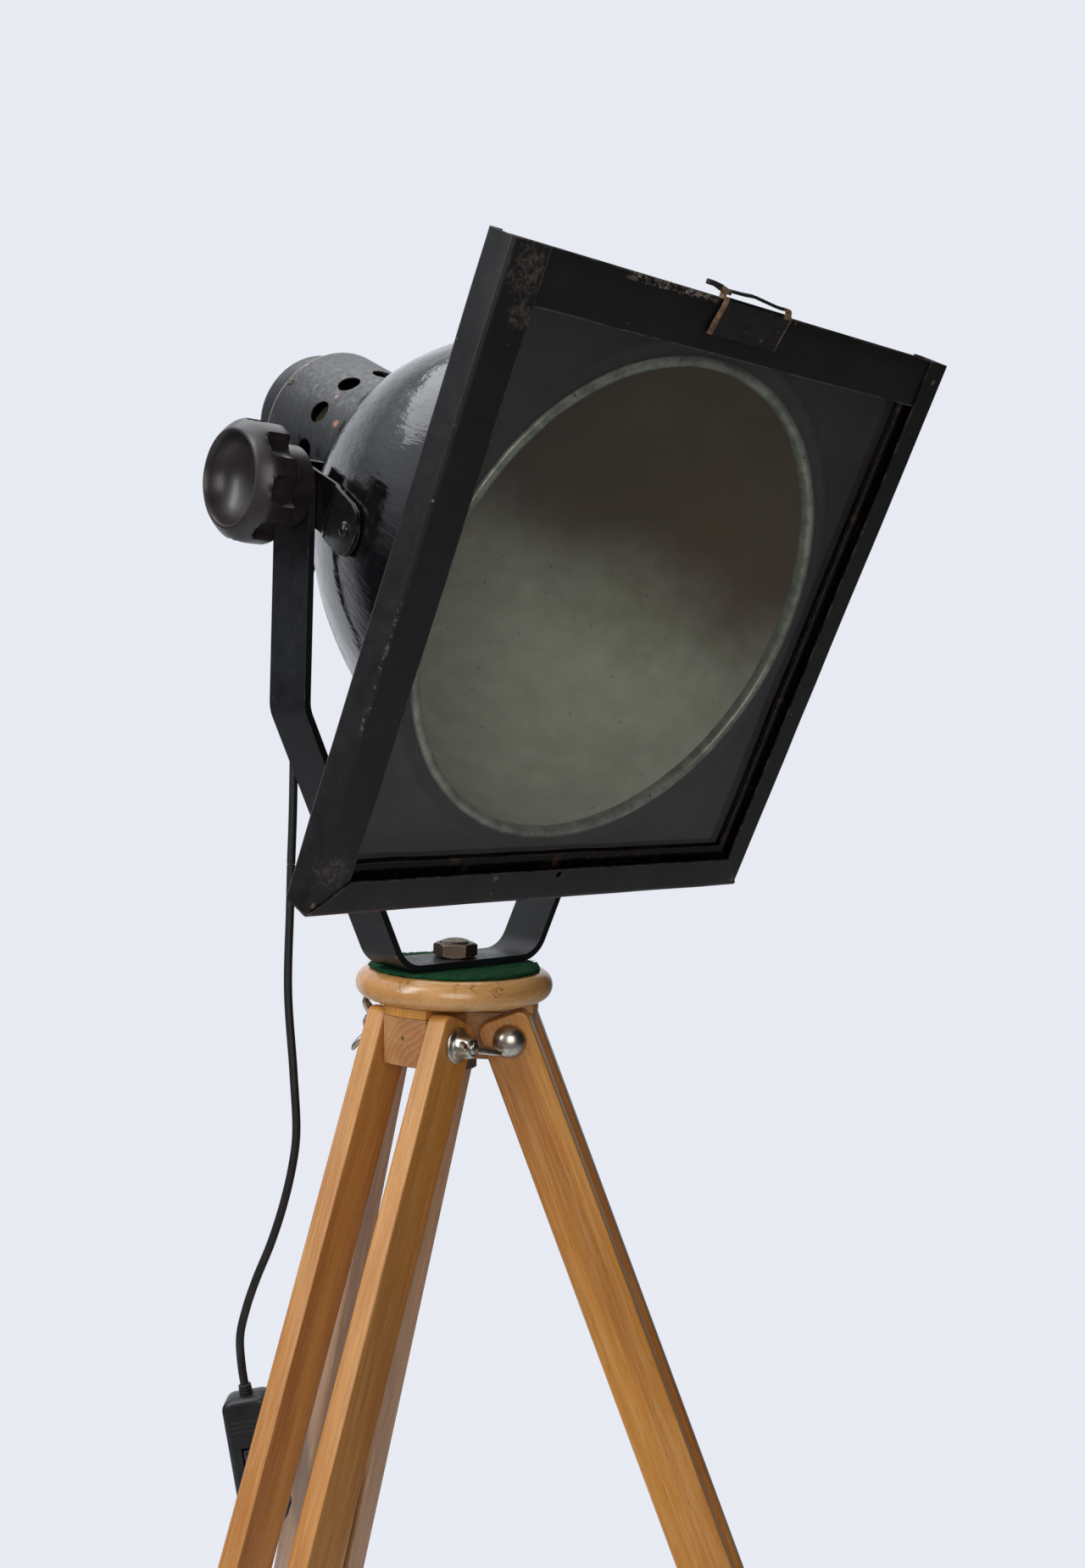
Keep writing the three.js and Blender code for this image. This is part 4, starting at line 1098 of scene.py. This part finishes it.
def pane_frame():
    """A thin frame with a turned-over inner edge, a little wavy from use."""
    inner = [(171, -173), (171, 174), (-171, 174), (-171, -173)]
    outer = [(194, -203.2), (194, 200), (-194, 200), (-194, -203.2)]
    section = [(0.0, PANE_BACK), (0.0, PANE_FRONT), (0.10, PANE_FRONT + 0.5), (0.2, PANE_FRONT + 0.3),
               (0.24, PANE_FRONT - 0.7), (1.0, PANE_FRONT - 0.8), (1.0, PANE_BACK)]
    rings = []
    per_side = 30
    for side_index in range(4):
        for i in range(per_side):
            t = i / per_side
            a = Vector(inner[side_index]).lerp(Vector(inner[(side_index + 1) % 4]), t)
            b = Vector(outer[side_index]).lerp(Vector(outer[(side_index + 1) % 4]), t)
            ring = []
            for share, w in section:
                p = a.lerp(b, share).to_3d()
                p.z = w
                wave = rough(p, 38, 0.9, 6.0) if share < 0.3 else Vector((0, 0, 0))
                ring.append(p + Vector((wave.x, wave.y, 0)))
            rings.append(ring)
    return loft(rings, closed=True)


piece("pane_frame_sheet", pane_frame(), LAMP, "pane", "rusty_steel", RUST, ["pane_frame"], bevel=0.2,
      sharp=50)
pane_outline = [(-192, -199.9), (192, -199.9), (192, 198), (-192, 198)]
piece("pane_glass_sheet", prism(pane_outline, 189.25, 192.2), LAMP, "pane", "pane_glass", GLASS,
      ["front_glass"], bevel=0.4)


def spring_clip():
    """A sheet folded over the top lip: raised crown, finger tab on the left, plate down the front."""
    left, right, sheet = -35, 27, 1.0
    top = HALF_HEIGHT + 0.3
    front, back = FRONT + 0.8, FRONT - 4.5
    lean = 5.0  # the front plate slants a little to the left, going down
    crown = fillet([(left + 0.6, top - 0.5), (left + 0.6, top + 4.6), (left + 16, top + 4.9),
                   (left + 26, top + 5.6), (right - 12, top + 3.6), (right - 0.6, top + 3.8),
                   (right - 0.6, top - 0.5)], [0, 2.0, 30, 20, 20, 2.4, 0], 8)
    upper, lower = offset(crown, sheet * 0.9), offset(crown, -sheet * 0.9)
    bridge = loft([[(u.x, u.y, back), (l.x, l.y, back), (l.x, l.y, front - 1.2), (u.x, u.y, front - 1.2)]
                   for u, l in zip(upper, lower)])
    over = fillet([(back + 0.5, top - 13.8), (back + 0.5, top + 0.6), (front, top + 0.6), (front, top - 3)],
                  1.4)
    outer, inner = offset(over, sheet / 2), offset(over, -sheet / 2)
    fold = loft([[(u, p.y, p.x) for p in list(outer) + list(reversed(inner))]
                 for u in (left, left + 20, right - 20, right)])
    plate = []
    for i in range(21):
        u = left + (right - left) * i / 20
        low = top - 21.4 + 0.5 * noise.noise(Vector((u / 9, 0, 2)))
        mid = (top - 1 + low) / 2
        curl = 0.4 * noise.noise(Vector((u / 14, 3, 0)))
        plate.append([(u, top - 1, front - 0.5), (u, top - 1, front + 0.5),
                     (u - lean * 0.5, mid, front + 0.5 + curl), (u - lean, low, front + 0.5),
                     (u - lean, low, front - 0.5), (u - lean * 0.5, mid, front - 0.5 + curl)])
    tab_line = [Vector((left + 5, top + 4.2)), Vector((left, top + 4.8)), Vector((left - 6, top + 6.2)),
                Vector((left - 12, top + 6.8)), Vector((left - 15.5, top + 6.6))]
    tab_top, tab_low = offset(tab_line, -1.0), offset(tab_line, 1.0)
    half = [2.0, 3.0, 3.2, 3.0, 1.6]
    mid = (front + back) / 2 - 0.4
    tab = loft([[(a.x, a.y, mid - h), (b.x, b.y - 0.9, mid - h), (b.x, b.y - 0.9, mid + h),
               (a.x, a.y, mid + h)] for a, b, h in zip(tab_top, tab_low, half)])
    return both(bridge, fold, loft(plate), tab)


piece("clip_spring", spring_clip(), LAMP, "clip", "rusty_steel", CLIP_STEEL, ["retaining_clip"], bevel=0.15,
      sharp=45)


# ---- reflector, neck and cap ----
def bowl_radius(w):
    return BOWL_RADIUS * sqrt(1 - (max(0.0, (140 - w) / 250)) ** 1.6)


RIM_FRONT = 181.1
stations = [RIM_FRONT - 1.5] + [140 - (140 + 87.7) * i / 40 for i in range(41)]
outside = [(BOWL_RADIUS if w > 140 else bowl_radius(w), w) for w in stations]
collar = NECK_RADIUS - 1.8
on_lamp("bowl_shell",
        lathe([(BOWL_RADIUS + 0.1, RIM_FRONT - 3)] + outside[1:]
        + [(collar, -88), (collar, -105), (collar - 1, -105), (collar - 1, -86)]
        + [(r - 1, w) for r, w in reversed(outside[1:])] + [(BOWL_RADIUS - 0.9, RIM_FRONT - 3)], 128,
        closed=True), "enamel", ENAMEL, ["reflector_bowl"], sharp=40)
lining = [(BOWL_RADIUS - 1.1, RIM_FRONT - 6)] + [(r - 1.1, w) for r, w in outside[1:-1]]
lining += [(collar - 1.2, -84), (collar - 1.2, -105)]
on_lamp("bowl_lining", lathe(lining + [(r - 0.8, w) for r, w in reversed(lining)], 128, closed=True),
        "enamel", LINING, sharp=40)
rim_line = [(BOWL_RADIUS + 4, 179.8), (BOWL_RADIUS + 4, 180.9), (BOWL_RADIUS + 2.4, 182.2),
            (BOWL_RADIUS - 0.4, 182.6), (BOWL_RADIUS - 2.4, 181.4), (BOWL_RADIUS - 3.2, 178.5),
            (BOWL_RADIUS - 2.4, 174.0), (BOWL_RADIUS - 1.2, 172.0), (BOWL_RADIUS - 0.2, 176.5),
            (BOWL_RADIUS + 1.4, 179.6)]


def dented(radius, z, angle):
    return radius + 0.35 * noise.noise(Vector((*polar(7, angle), 1.3)))


on_lamp("bowl_rim", lathe(rim_line, 160, closed=True, wobble=dented), "enamel", RIM, sharp=60)

VENTS, VENT_RADIUS, VENT_AT = 12, 8.8, -131
neck_profile = [(NECK_RADIUS, NECK_FRONT), (NECK_RADIUS, NECK_REAR + 0.6), (NECK_RADIUS - 0.4, NECK_REAR),
                (NECK_RADIUS - 1.5, NECK_REAR), (NECK_RADIUS - 1.5, NECK_FRONT)]
vents = []
for i in range(VENTS):
    angle = 360 / VENTS * (i + 0.25)
    vents.append(moved(rod(VENT_RADIUS, NECK_RADIUS - 10, NECK_RADIUS + 10, 28),
                       shift(0, 0, VENT_AT) @ turn(angle, "Z") @ ALONG_X))
on_lamp("neck_sheet", lathe(neck_profile, 96, closed=True), "frame_paint", NECK, ["neck_tube"], bevel=0.3,
        sharp=40, holes=both(*vents))
CAP_REAR, CAP_RADIUS = NECK_REAR - 33, 50
cap_profile = [(0, CAP_REAR + 1.2), (43, CAP_REAR + 1.2), (48.5, NECK_REAR + 8), (57.9, NECK_REAR + 8),
               (57.9, NECK_REAR + 0.2), (56.5, NECK_REAR - 0.3), (CAP_RADIUS - 0.4, NECK_REAR - 0.5),
               (CAP_RADIUS - 0.6, CAP_REAR + 7), (CAP_RADIUS - 1.6, CAP_REAR + 3.4),
               (CAP_RADIUS - 3.4, CAP_REAR + 1), (CAP_RADIUS - 7, CAP_REAR), (36, CAP_REAR),
               (34, CAP_REAR + 0.9), (12, CAP_REAR + 0.9), (10, CAP_REAR + 0.2), (0, CAP_REAR + 0.2)]
on_lamp("rear_cap_sheet", lathe(cap_profile, 96), "frame_paint",
        black_paint("cap_paint", base="16161a", dust="26272b", wear=0.6), ["rear_cap"], sharp=40)
cap_screw = lathe([(0, 0), (3.4, 0), (3.4, 0.9), (2.4, 1.8), (0, 2.1)], 20)
on_lamp("rear_cap_screws",
        both(*[moved(cap_screw, turn(a, "Z") @ shift(NECK_RADIUS - 1.2, 0, NECK_REAR + 4) @ ALONG_X)
        for a in (30, 150, 270)]), "dark_steel", STEEL)

# ---- cable gland under the neck ----
GLAND_W = -163
relief = [(0, 0), (9, 0), (9.3, 1), (9.3, 6), (8.6, 8.5)]
relief += repeated([(6.0, 0), (6.0, 0.9), (6.9, 1.4), (6.8, 3.4)], 9, 3.9, 7, 0.35)
relief += [(CORD / 2 + 0.9, 37.2), (CORD / 2 + 0.3, 38), (0, 38)]
gland_frame = LAMP @ shift(0, -NECK_RADIUS + 0.2, GLAND_W) @ turn(90, "X")
piece("gland_relief", lathe(relief, 40), gland_frame, "lamp_head", "rubber", GLAND, ["cord_gland"], sharp=40)

# ---- lamp holder and bulb, seen through the mouth ----
HOLDER = NECK_REAR + 10.6
HOLDER_SCREW = 42
holder_profile = raised([(0, 0), (26, 0), (26, 8), (21.5, 14), (21, 20), (20, 21), (20, 23), (21, 24),
                        (21, 50), (19.5, 53.5), (17, 55), (14, 55), (14, 51), (0, 51)], HOLDER)
on_lamp("lampholder_body", lathe(holder_profile, 64), "porcelain", PORCELAIN, ["lampholder"], bevel=0.4,
        sharp=40)
BULB_BASE = HOLDER + 55.3
screw_thread = repeated([(12.6, 0), (13.4, 1.8)], 4, 3.6, 6)
bulb_profile = raised([(0, 0), (6, 0), (13.2, 3)] + screw_thread + [(12.8, 27), (16, 31), (22.5, 40),
                      (27.5, 50), (29.8, 60), (29.6, 68), (27, 77), (21, 85), (12, 90.2), (5, 91.8),
                      (0, 92)], BULB_BASE)
on_lamp("bulb_envelope", lathe(bulb_profile, 64), "bulb_glass", BULB, ["bulb"], sharp=50)
holder_strap = rounded_rectangle(52, 12, 5)
on_lamp("holder_strap", prism(holder_strap, HOLDER - 2.3, HOLDER - 0.3), "rusty_steel", RUST,
        ["lampholder_bracket"], bevel=0.5,
        holes=both(*[moved(rod(3, HOLDER - 8, HOLDER + 7, 20), shift(x, 0, 0))
        for x in (-HOLDER_SCREW, HOLDER_SCREW)]))


# ---- pivot brackets, bolts and knobs ----
def strip(line, sheet, half_width, place):
    """A strap along a line: half_width(point) each side, place(a, b, across) gives the point."""
    rings = []
    for point, a, b in zip(line, offset(line, sheet / 2), offset(line, -sheet / 2)):
        h = half_width(point)
        rings.append([place(a.x, a.y, -h), place(b.x, b.y, -h), place(b.x, b.y, h), place(a.x, a.y, h)])
    return loft(rings)


def bracket(sign):
    """Past the pivot and forward onto the bowl, round at the nose; its rear end turns in to the bowl."""
    half, out, back, nose = 17, 145.0, -10.5, 95
    on_bowl = [(bowl_radius(w) + 3, w) for w in (46, 54, 62, 70, 78, 86)]
    bends = [(bowl_radius(back) + 3, back), (out, back), (out, 38)] + on_bowl
    line = fillet(bends, [0, 4, 14, 0.5, 0.5, 0.5, 0.5, 0.5, 0])
    for i in range(1, 15):  # close stations where the nose is round
        w = 86 + (nose - 86) * sin(i / 14 * pi / 2)
        line.append(Vector((bowl_radius(w) + 3, w)))

    def width(point):
        behind_nose = nose - point.y
        if behind_nose < half:
            return max(1.2, sqrt(max(0, half**2 - (half - behind_nose) ** 2)))
        return half

    return strip(line, 3, width, lambda a, b, c: (sign * a, c, b))


RIVET = [(0, 0), (5.2, 0), (5.0, 1.2), (3.8, 2.5), (1.8, 3.2), (0, 3.4)]
for side, sign in SIDES.items():
    on_lamp(f"bracket_{side}_strap", bracket(sign), "frame_paint", BRACKET_PAINT, [f"pivot_bracket_{side}"],
            bevel=0.6, sharp=40)
    slope = 90 - degrees(atan((bowl_radius(83) - bowl_radius(73)) / 10))
    rivet = moved(lathe(RIVET, 24),
                  shift(sign * (bowl_radius(78) + 4.4), 0, 78) @ turn(sign * (180 - slope), "Y"))
    on_lamp(f"bracket_{side}_rivet", rivet, "frame_paint", BRACKET_PAINT, sharp=50)
    bolt = lathe([(0, 138.2), (5, 138.4), (7.4, 139.6), (8, 141.2), (8, 143.1), (6, 143.1), (6, 170),
                 (5.2, 172), (0, 172)], 48)
    piece(f"pivot_bolt_{side}_stud", moved(bolt, turn(90 * sign, "Y")), HEAD, "lamp_head", "dark_steel",
          STEEL, [f"pivot_bolt_{side}"], sharp=40)

FLUTES, KNOB_TURN = 8, 11
GRIP = KNOB_TO - KNOB_FROM - 29  # the fluted grip stands on a plain hub
hub = [(0, 0), (25.5, 0), (27, 1)]
knob_profile = hub + raised([(27, 0), (30, 0), (36.8, 0.5), (39.2, 1.6), (39.9, 3.4), (40, 6), (40, 10.5),
    (40, 13), (40, 15), (39.9, 17), (39.6, 18.8), (38.9, 20.8), (37.8, 22.7), (36.2, 24.7), (34.4, 26.6),
    (33.0, 28.0), (31.9, 28.8), (30.9, 29.0), (30.1, 28.8), (29.5, 28.0), (28.8, 25.6), (27.4, 21.4),
    (24.6, 17.2), (20.5, 14.0), (15, 11.4), (8, 9.8), (0, 9.2)], GRIP)


def fluted(radius, z, angle):
    """Eight scoops along the knob's side that stop short of its front ring."""
    if radius < 34 or z < GRIP:
        return radius
    pitch = TAU / FLUTES
    from_middle = abs((angle + pitch / 2) % pitch - pitch / 2) / radians(14)
    end = GRIP + 21.5 - 3.5 * from_middle**2
    along = max(0.0, min(1.0, (end - z) / 3.5))
    across = max(0.0, 1 - from_middle**2) ** 0.5
    return radius - 7.0 * across * along * along * (3 - 2 * along)


knob = lathe(knob_profile, 256, wobble=fluted)
for side, sign in SIDES.items():
    piece(f"knob_{side}_moulding", knob,
          HEAD @ turn(90 * sign, "Y") @ shift(0, 0, KNOB_FROM) @ turn(KNOB_TURN, "Z"), f"knob_{side}",
          "bakelite", BAKELITE, [f"tilt_knob_{side}"], sharp=24)

# ---- yoke ----
YOKE_HALF, YOKE_SHEET, YOKE_WIDTH, YOKE_BASE, YOKE_BEND = 149.5, 5, 41, 62, 182
right_arm = [(YOKE_BASE, YOKE_SHEET / 2), (YOKE_HALF, YOKE_BEND), (YOKE_HALF, PIVOT_HEIGHT)]
corners = [(-x, z) for x, z in reversed(right_arm)] + right_arm
arms = fillet(corners, [0, 24, 24, 24, 24, 0], steps=10)
cap = [Vector((YOKE_HALF, PIVOT_HEIGHT + YOKE_WIDTH / 2 * sin(i / 12 * pi / 2))) for i in range(1, 13)]
yoke_line = [Vector((-p.x, p.y)) for p in reversed(cap)] + arms + cap


def yoke_width(point):
    above = max(0.0, point.y - PIVOT_HEIGHT)
    half = YOKE_WIDTH / 2
    return max(0.8, sqrt(max(0.0, half**2 - above**2)))


piece("yoke_strap", strip(yoke_line, YOKE_SHEET, yoke_width, lambda a, b, c: (a, c, b)), TOP, "yoke",
      "yoke_paint", YOKE_PAINT, ["yoke"], bevel=0.9, segments=3, sharp=40)


# ---- nut and stud on the yoke ----
NUT_FLATS, NUT_HEIGHT, NUT_TURN = 28, 10, 17


def hexagon_nut(flats, low, height, bore):
    """A hexagon with its corners turned off by a cone, so that each flat ends in an arc."""
    sides = 96
    circle = flats / 2 * 0.97
    slope = tan(radians(28))
    angles = [TAU * i / sides for i in range(sides)]
    rings = [[], [], [], []]
    for a in angles:
        r = flats / 2 / cos((a % (TAU / 6)) - TAU / 12)
        drop = (r - circle) * slope
        levels = (circle, low), (r, low + drop), (r, low + height - drop), (circle, low + height)
        for ring, (radius, z) in zip(rings, levels):
            ring.append((*polar(radius, a), z))
    top = low + height
    for r, z in ((bore + 1.4, top), (bore, top - 1.4), (bore, low + 1), (bore + 1, low)):
        rings.append([(*polar(r, a), z) for a in angles])
    return loft(rings, closed=True)


piece("yoke_nut_hexagon", hexagon_nut(NUT_FLATS, YOKE_SHEET + 0.3, NUT_HEIGHT, 10.3),
      TOP @ turn(NUT_TURN, "Z"), "yoke_nut", "dark_steel", NUT_STEEL, ["yoke_nut"], sharp=24)
stud = [(0, -75), (18, -75), (18, -66.5), (10, -66.5), (10, 5)]
stud += repeated([(9.3, 0), (10, 0.68)], 5.4, 1.35, 9)
stud += [(8.8, 17.2), (6.2, 18.1), (3, 18.5), (0, 18.6)]
piece("centre_stud", lathe(stud, 48), TOP, "tripod_top", "dark_steel", STUD_STEEL, ["centre_bolt"], sharp=40)


# ---- felt, disc and head block ----
UNDER_YOKE = 21.5  # half the width of felt that the yoke holds flat


def felt_pad():
    """A rough-cut disc of felt with a lifted, fuzzy edge."""
    sides, rings = 180, []
    for r, z in ((0, -3.0), (40, -3.0), (56, -3.0), (61.4, -2.9), (62.2, -1.8), (61.2, -0.6), (58, -0.35),
                 (50, -0.35), (36, -0.35), (20, -0.35), (0, -0.35)):
        ring = []
        for i in range(sides):
            a = TAU * i / sides
            edge = max(0.0, (r - 50) / 12)
            p = Vector((*polar(9, a), z * 0.2))
            rag = noise.noise(p) * 1.6 + noise.noise(p * 3.1) * 0.7
            rr = r + rag * edge
            x, y = polar(rr, a)
            lift = 0.0
            if z > -1 and abs(y) > UNDER_YOKE:
                lift = 2.4 * max(0.0, noise.noise(Vector((x, y, 3.0)) / 9) - 0.12)
                lift += 0.45 * noise.noise(Vector((x, y, 9)) / 3)
                lift *= min(1.0, (abs(y) - UNDER_YOKE) / 5)
            ring.append((x, y, z + lift))
        rings.append(ring)
    return loft(rings, capped=False)


piece("felt_disc", felt_pad(), TOP, "tripod_top", "felt", FELT, ["felt_pad"], sharp=80)
random.seed(5)
fibres = []
for i in range(260):
    a = random.uniform(0, TAU)
    edge = i < 180
    r = random.uniform(59.5, 61.5) if edge else random.uniform(24, 60)
    x, y = polar(r, a)
    if not edge and abs(y) < 22:
        continue
    size = random.uniform(1.2, 3.4)
    out = Vector((cos(a + random.uniform(-1, 1)), sin(a + random.uniform(-1, 1)), random.uniform(0.0, 0.7)))
    start = Vector((x, y, random.uniform(-2.4, -0.7)))
    curl = Vector((random.uniform(-1, 1), random.uniform(-1, 1), random.uniform(-0.3, 0.6))) * size * 0.4
    fibres.append(tube([start, start + out * size * 0.5 + curl * 0.5, start + out * size],
                  lambda t: 0.16 * (1 - 0.6 * t), 4))
piece("felt_fibres", both(*fibres), TOP, "tripod_top", "felt", FELT, sharp=80)

DISC_RADIUS, DISC_TOP, DISC_THICK = 72, -3.3, 21
disc_mid = DISC_TOP - DISC_THICK / 2
disc_edge = arc((DISC_RADIUS - DISC_THICK / 2, disc_mid), DISC_THICK / 2, -86, 172, 16)
disc_profile = [(0, DISC_TOP - DISC_THICK)] + disc_edge + [(0, DISC_TOP)]
piece("head_disc_turning", lathe(disc_profile, 128), TOP, "tripod_top", "beech", DISC_WOOD, ["head_disc"],
      sharp=50)

TENON_HALF, TENON_REACH = 18.7, 62
TENON_TOP, TENON_LOW = -24.6, -66


def tenon(reach, half, z0, z1):
    """One third of the block: an arm with a convex end, meeting its neighbours at the middle."""
    corner_x, corner_y = polar(half / sin(radians(60)), radians(60))
    outline = [(0, 0), (corner_x, -corner_y)]
    for i in range(13):
        y = -half + 2 * half * i / 12
        outline.append((sqrt(reach**2 - y**2), y))
    outline.append((corner_x, corner_y))
    return prism(outline, z0, z1)


for k, azimuth in LEG_AZIMUTHS.items():
    arm = tenon(TENON_REACH - 0.7, TENON_HALF, TENON_LOW, TENON_TOP - 7.2)
    piece(f"head_block_arm_{k}", arm, TOP @ turn(azimuth, "Z"), "tripod_top", "beech", BLOCK_WOOD,
          ["head_block"] if k == 1 else [], bevel=0.8)
    piece(f"head_block_shoulder_{k}", tenon(TENON_REACH, TENON_HALF, TENON_TOP - 6.9, TENON_TOP),
          TOP @ turn(azimuth, "Z"), "tripod_top", "beech",
          LEG_WOOD[1] if k == 1 else wood(f"shoulder_wood_{k}", along=0, seed=50.0 + k), bevel=0.5)


# ---- legs ----
def rail(sign):
    half, top, corner = RAIL_WIDTH / 2, 18, 8
    outline = [(half, -RAIL_LENGTH)]
    for centre, start in ((half - corner, 0), (corner - half, 90)):
        outline += arc((centre, top - corner), corner, start, 90, 8)
    outline.append((-half, -RAIL_LENGTH))
    inner = RAIL_GAP / 2
    sides = sorted((sign * inner, sign * (inner + RAIL_THICKNESS)))
    return loft([[(x, y, z) for x, z in outline] for y in sides])


def wings(spine, step, radius, sides, squash):
    """Two wings, the same each side, along (x, z) points."""
    lines = [catmull([(sign * x, 0, z) for x, z in spine], step) for sign in (-1, 1)]
    return [tube(line, radius, sides, squash) for line in lines]


def wing_nut():
    """A turned hub on a wide flange, with two tapered wings that flare outwards."""
    hub = lathe([(5.4, 0), (12.2, 0), (12.7, 0.5), (12.7, 1.9), (12.0, 2.6), (9.6, 3.0), (9.0, 4.0),
                (8.7, 6), (8.0, 10), (7.4, 13), (6.9, 14.6), (6.0, 15.4), (5.4, 15.4)], 48, closed=True)
    spine = [(4.5, 9.5), (9, 12.2), (14, 16.2), (19, 19.6), (24.6, 21.4)]
    width = lambda t: (4.6 - 1.5 * t) * min(1.0, 0.35 + 5 * (1 - t)) ** 0.5
    return both(hub, *wings(spine, 1.6, width, 16, 0.62))


SLIDER_WIDTH, SLIDER_DEPTH, SLIDER_TOP, SLIDER_BOTTOM = 37.2, 26, 450, 1079.5
BAND_FROM, BAND_HEIGHT, BAND_WALL = 668, 30, 4


def clamp_band():
    ring_x, ring_y = RAIL_WIDTH / 2 + 0.3, LEG_OUTER
    rings = []
    top, low = -BAND_FROM, -BAND_FROM - BAND_HEIGHT
    for grow, z in ((0, top), (BAND_WALL, top), (BAND_WALL, low), (0, low)):
        rings.append([(x, y, z) for x, y in rounded_rectangle(ring_x + grow, ring_y + grow, 0.6 + grow)])
    return loft(rings, closed=True)


def clamp_screw():
    tip = SLIDER_DEPTH / 2 + 0.3
    end = RAIL_WIDTH / 2 + 0.3
    shaft = [(0, tip), (3.2, tip), (4, tip + 1)] + repeated([(3.5, 0), (4, 0.6)], tip + 1.5, 1.2, 12)
    shaft += raised([(8, 6), (8, 12), (7, 14), (0, 14)], end + BAND_WALL)
    spine = [(3, end + 15), (9, end + 18), (14, end + 20.5), (19.3, end + 21.5)]
    return both(lathe(shaft, 32), *wings(spine, 1.5, lambda t: 4.0 - 1.2 * t, 12, 0.55))


SHOE_TOP = -SLIDER_BOTTOM - 0.3
SHOE_TIP = SHOE_TOP - 34
shoe_profile = [(0, SHOE_TIP), (4.9, SHOE_TIP + 0.8), (6.4, SHOE_TIP + 2.6), (7, SHOE_TIP + 5.6),
                (8.6, SHOE_TIP + 13), (10, SHOE_TOP - 14), (14.2, SHOE_TOP - 8.6), (15, SHOE_TOP - 7),
                (15, SHOE_TOP - 1), (14.4, SHOE_TOP), (0, SHOE_TOP)]
WING_TURN = {1: -14, 2: 35, 3: 62}

for k in LEG_AZIMUTHS:
    leg, lower = f"leg_{k}", f"lower_leg_{k}"
    for side, sign in SIDES.items():
        piece(f"{leg}_{side}_board", rail(sign), LEG[k], leg, "beech", LEG_WOOD[k], [f"{leg}_rail_{side}"],
              bevel=1.9, sharp=40)
    head = raised([(0, -8.2), (4, -7.9), (7.6, -6.4), (10.2, -3.9), (11.8, -1.4), (12.3, 0), (5, 0)],
                  -LEG_OUTER)
    thread = [(5, 0)] + repeated([(5, 0.5), (4.5, 1.1)], 0, 1.2, 13) + [(4.2, 16.8), (2.6, 17.6), (0, 17.8)]
    piece(f"{leg}_hinge_pin", lathe(head + raised(thread, LEG_OUTER), 48), LEVEL[k] @ ALONG_Y, "tripod_top",
          "nickel", NICKEL, [f"{leg}_hinge_bolt"], sharp=45)
    piece(f"wing_nut_{k}_casting", wing_nut(),
          LEVEL[k] @ shift(0, LEG_OUTER, 0) @ ALONG_Y @ turn(WING_TURN[k], "Z"), f"wing_nut_{k}", "nickel",
          NICKEL, [f"{leg}_wing_nut"], sharp=50)
    slide = rounded_rectangle(SLIDER_DEPTH / 2, SLIDER_WIDTH / 2, 2.4, 4)
    piece(f"{lower}_board", prism(slide, -SLIDER_BOTTOM, -SLIDER_TOP), LEG[k], lower, "beech",
          wood(f"slider_wood_{k}", seed=70.0 + k, light="d0a05f", deep="b37c3c"), [f"{leg}_slider"],
          bevel=0.8, sharp=50)
    screw_at = -BAND_FROM - BAND_HEIGHT / 2
    piece(f"{leg}_band_strap", clamp_band(), LEG[k], leg, "dark_steel", STEEL, [f"{leg}_clamp_band"],
          bevel=0.7, holes=moved(rod(4.4, 10, 40, 24), shift(0, 0, screw_at) @ ALONG_X))
    boss = lathe([(4.6, 0), (9, 0), (9, 2.2), (8, 3.6), (4.6, 3.6)], 32, closed=True)
    piece(f"{leg}_band_boss",
          moved(boss, shift(RAIL_WIDTH / 2 + 0.3 + BAND_WALL - 0.2, 0, screw_at) @ ALONG_X), LEG[k], leg,
          "dark_steel", STEEL, sharp=40)
    piece(f"clamp_screw_{k}_casting", moved(clamp_screw(), ALONG_X), LEG[k] @ shift(0, 0, screw_at),
          f"clamp_screw_{k}", "nickel", NICKEL, [f"{leg}_clamp_screw"], sharp=45)
    under = moved(block((-900, -900, -60), (900, 900, 0)), LEG[k].inverted())
    piece(f"{lower}_ferrule", lathe(shoe_profile, 48), LEG[k], lower, "dark_steel", STEEL, [f"{leg}_shoe"],
          sharp=40, holes=under)

STRAP_Y, STRAP_Z = -RAIL_GAP / 2 + 0.3, -100
disc_plate = [(0, 0), (18, 0), (18, 1.4), (17.3, 2), (14.5, 2), (14, 1.7), (5.4, 1.7), (4.4, 3.0), (2, 3.6),
              (0, 3.7)]
piece("strap_disc_plate", lathe(disc_plate, 64), LEG[3] @ shift(0, STRAP_Y, STRAP_Z) @ ALONG_Y, "leg_3",
      "nickel", NICKEL, ["strap_disc"], sharp=40)
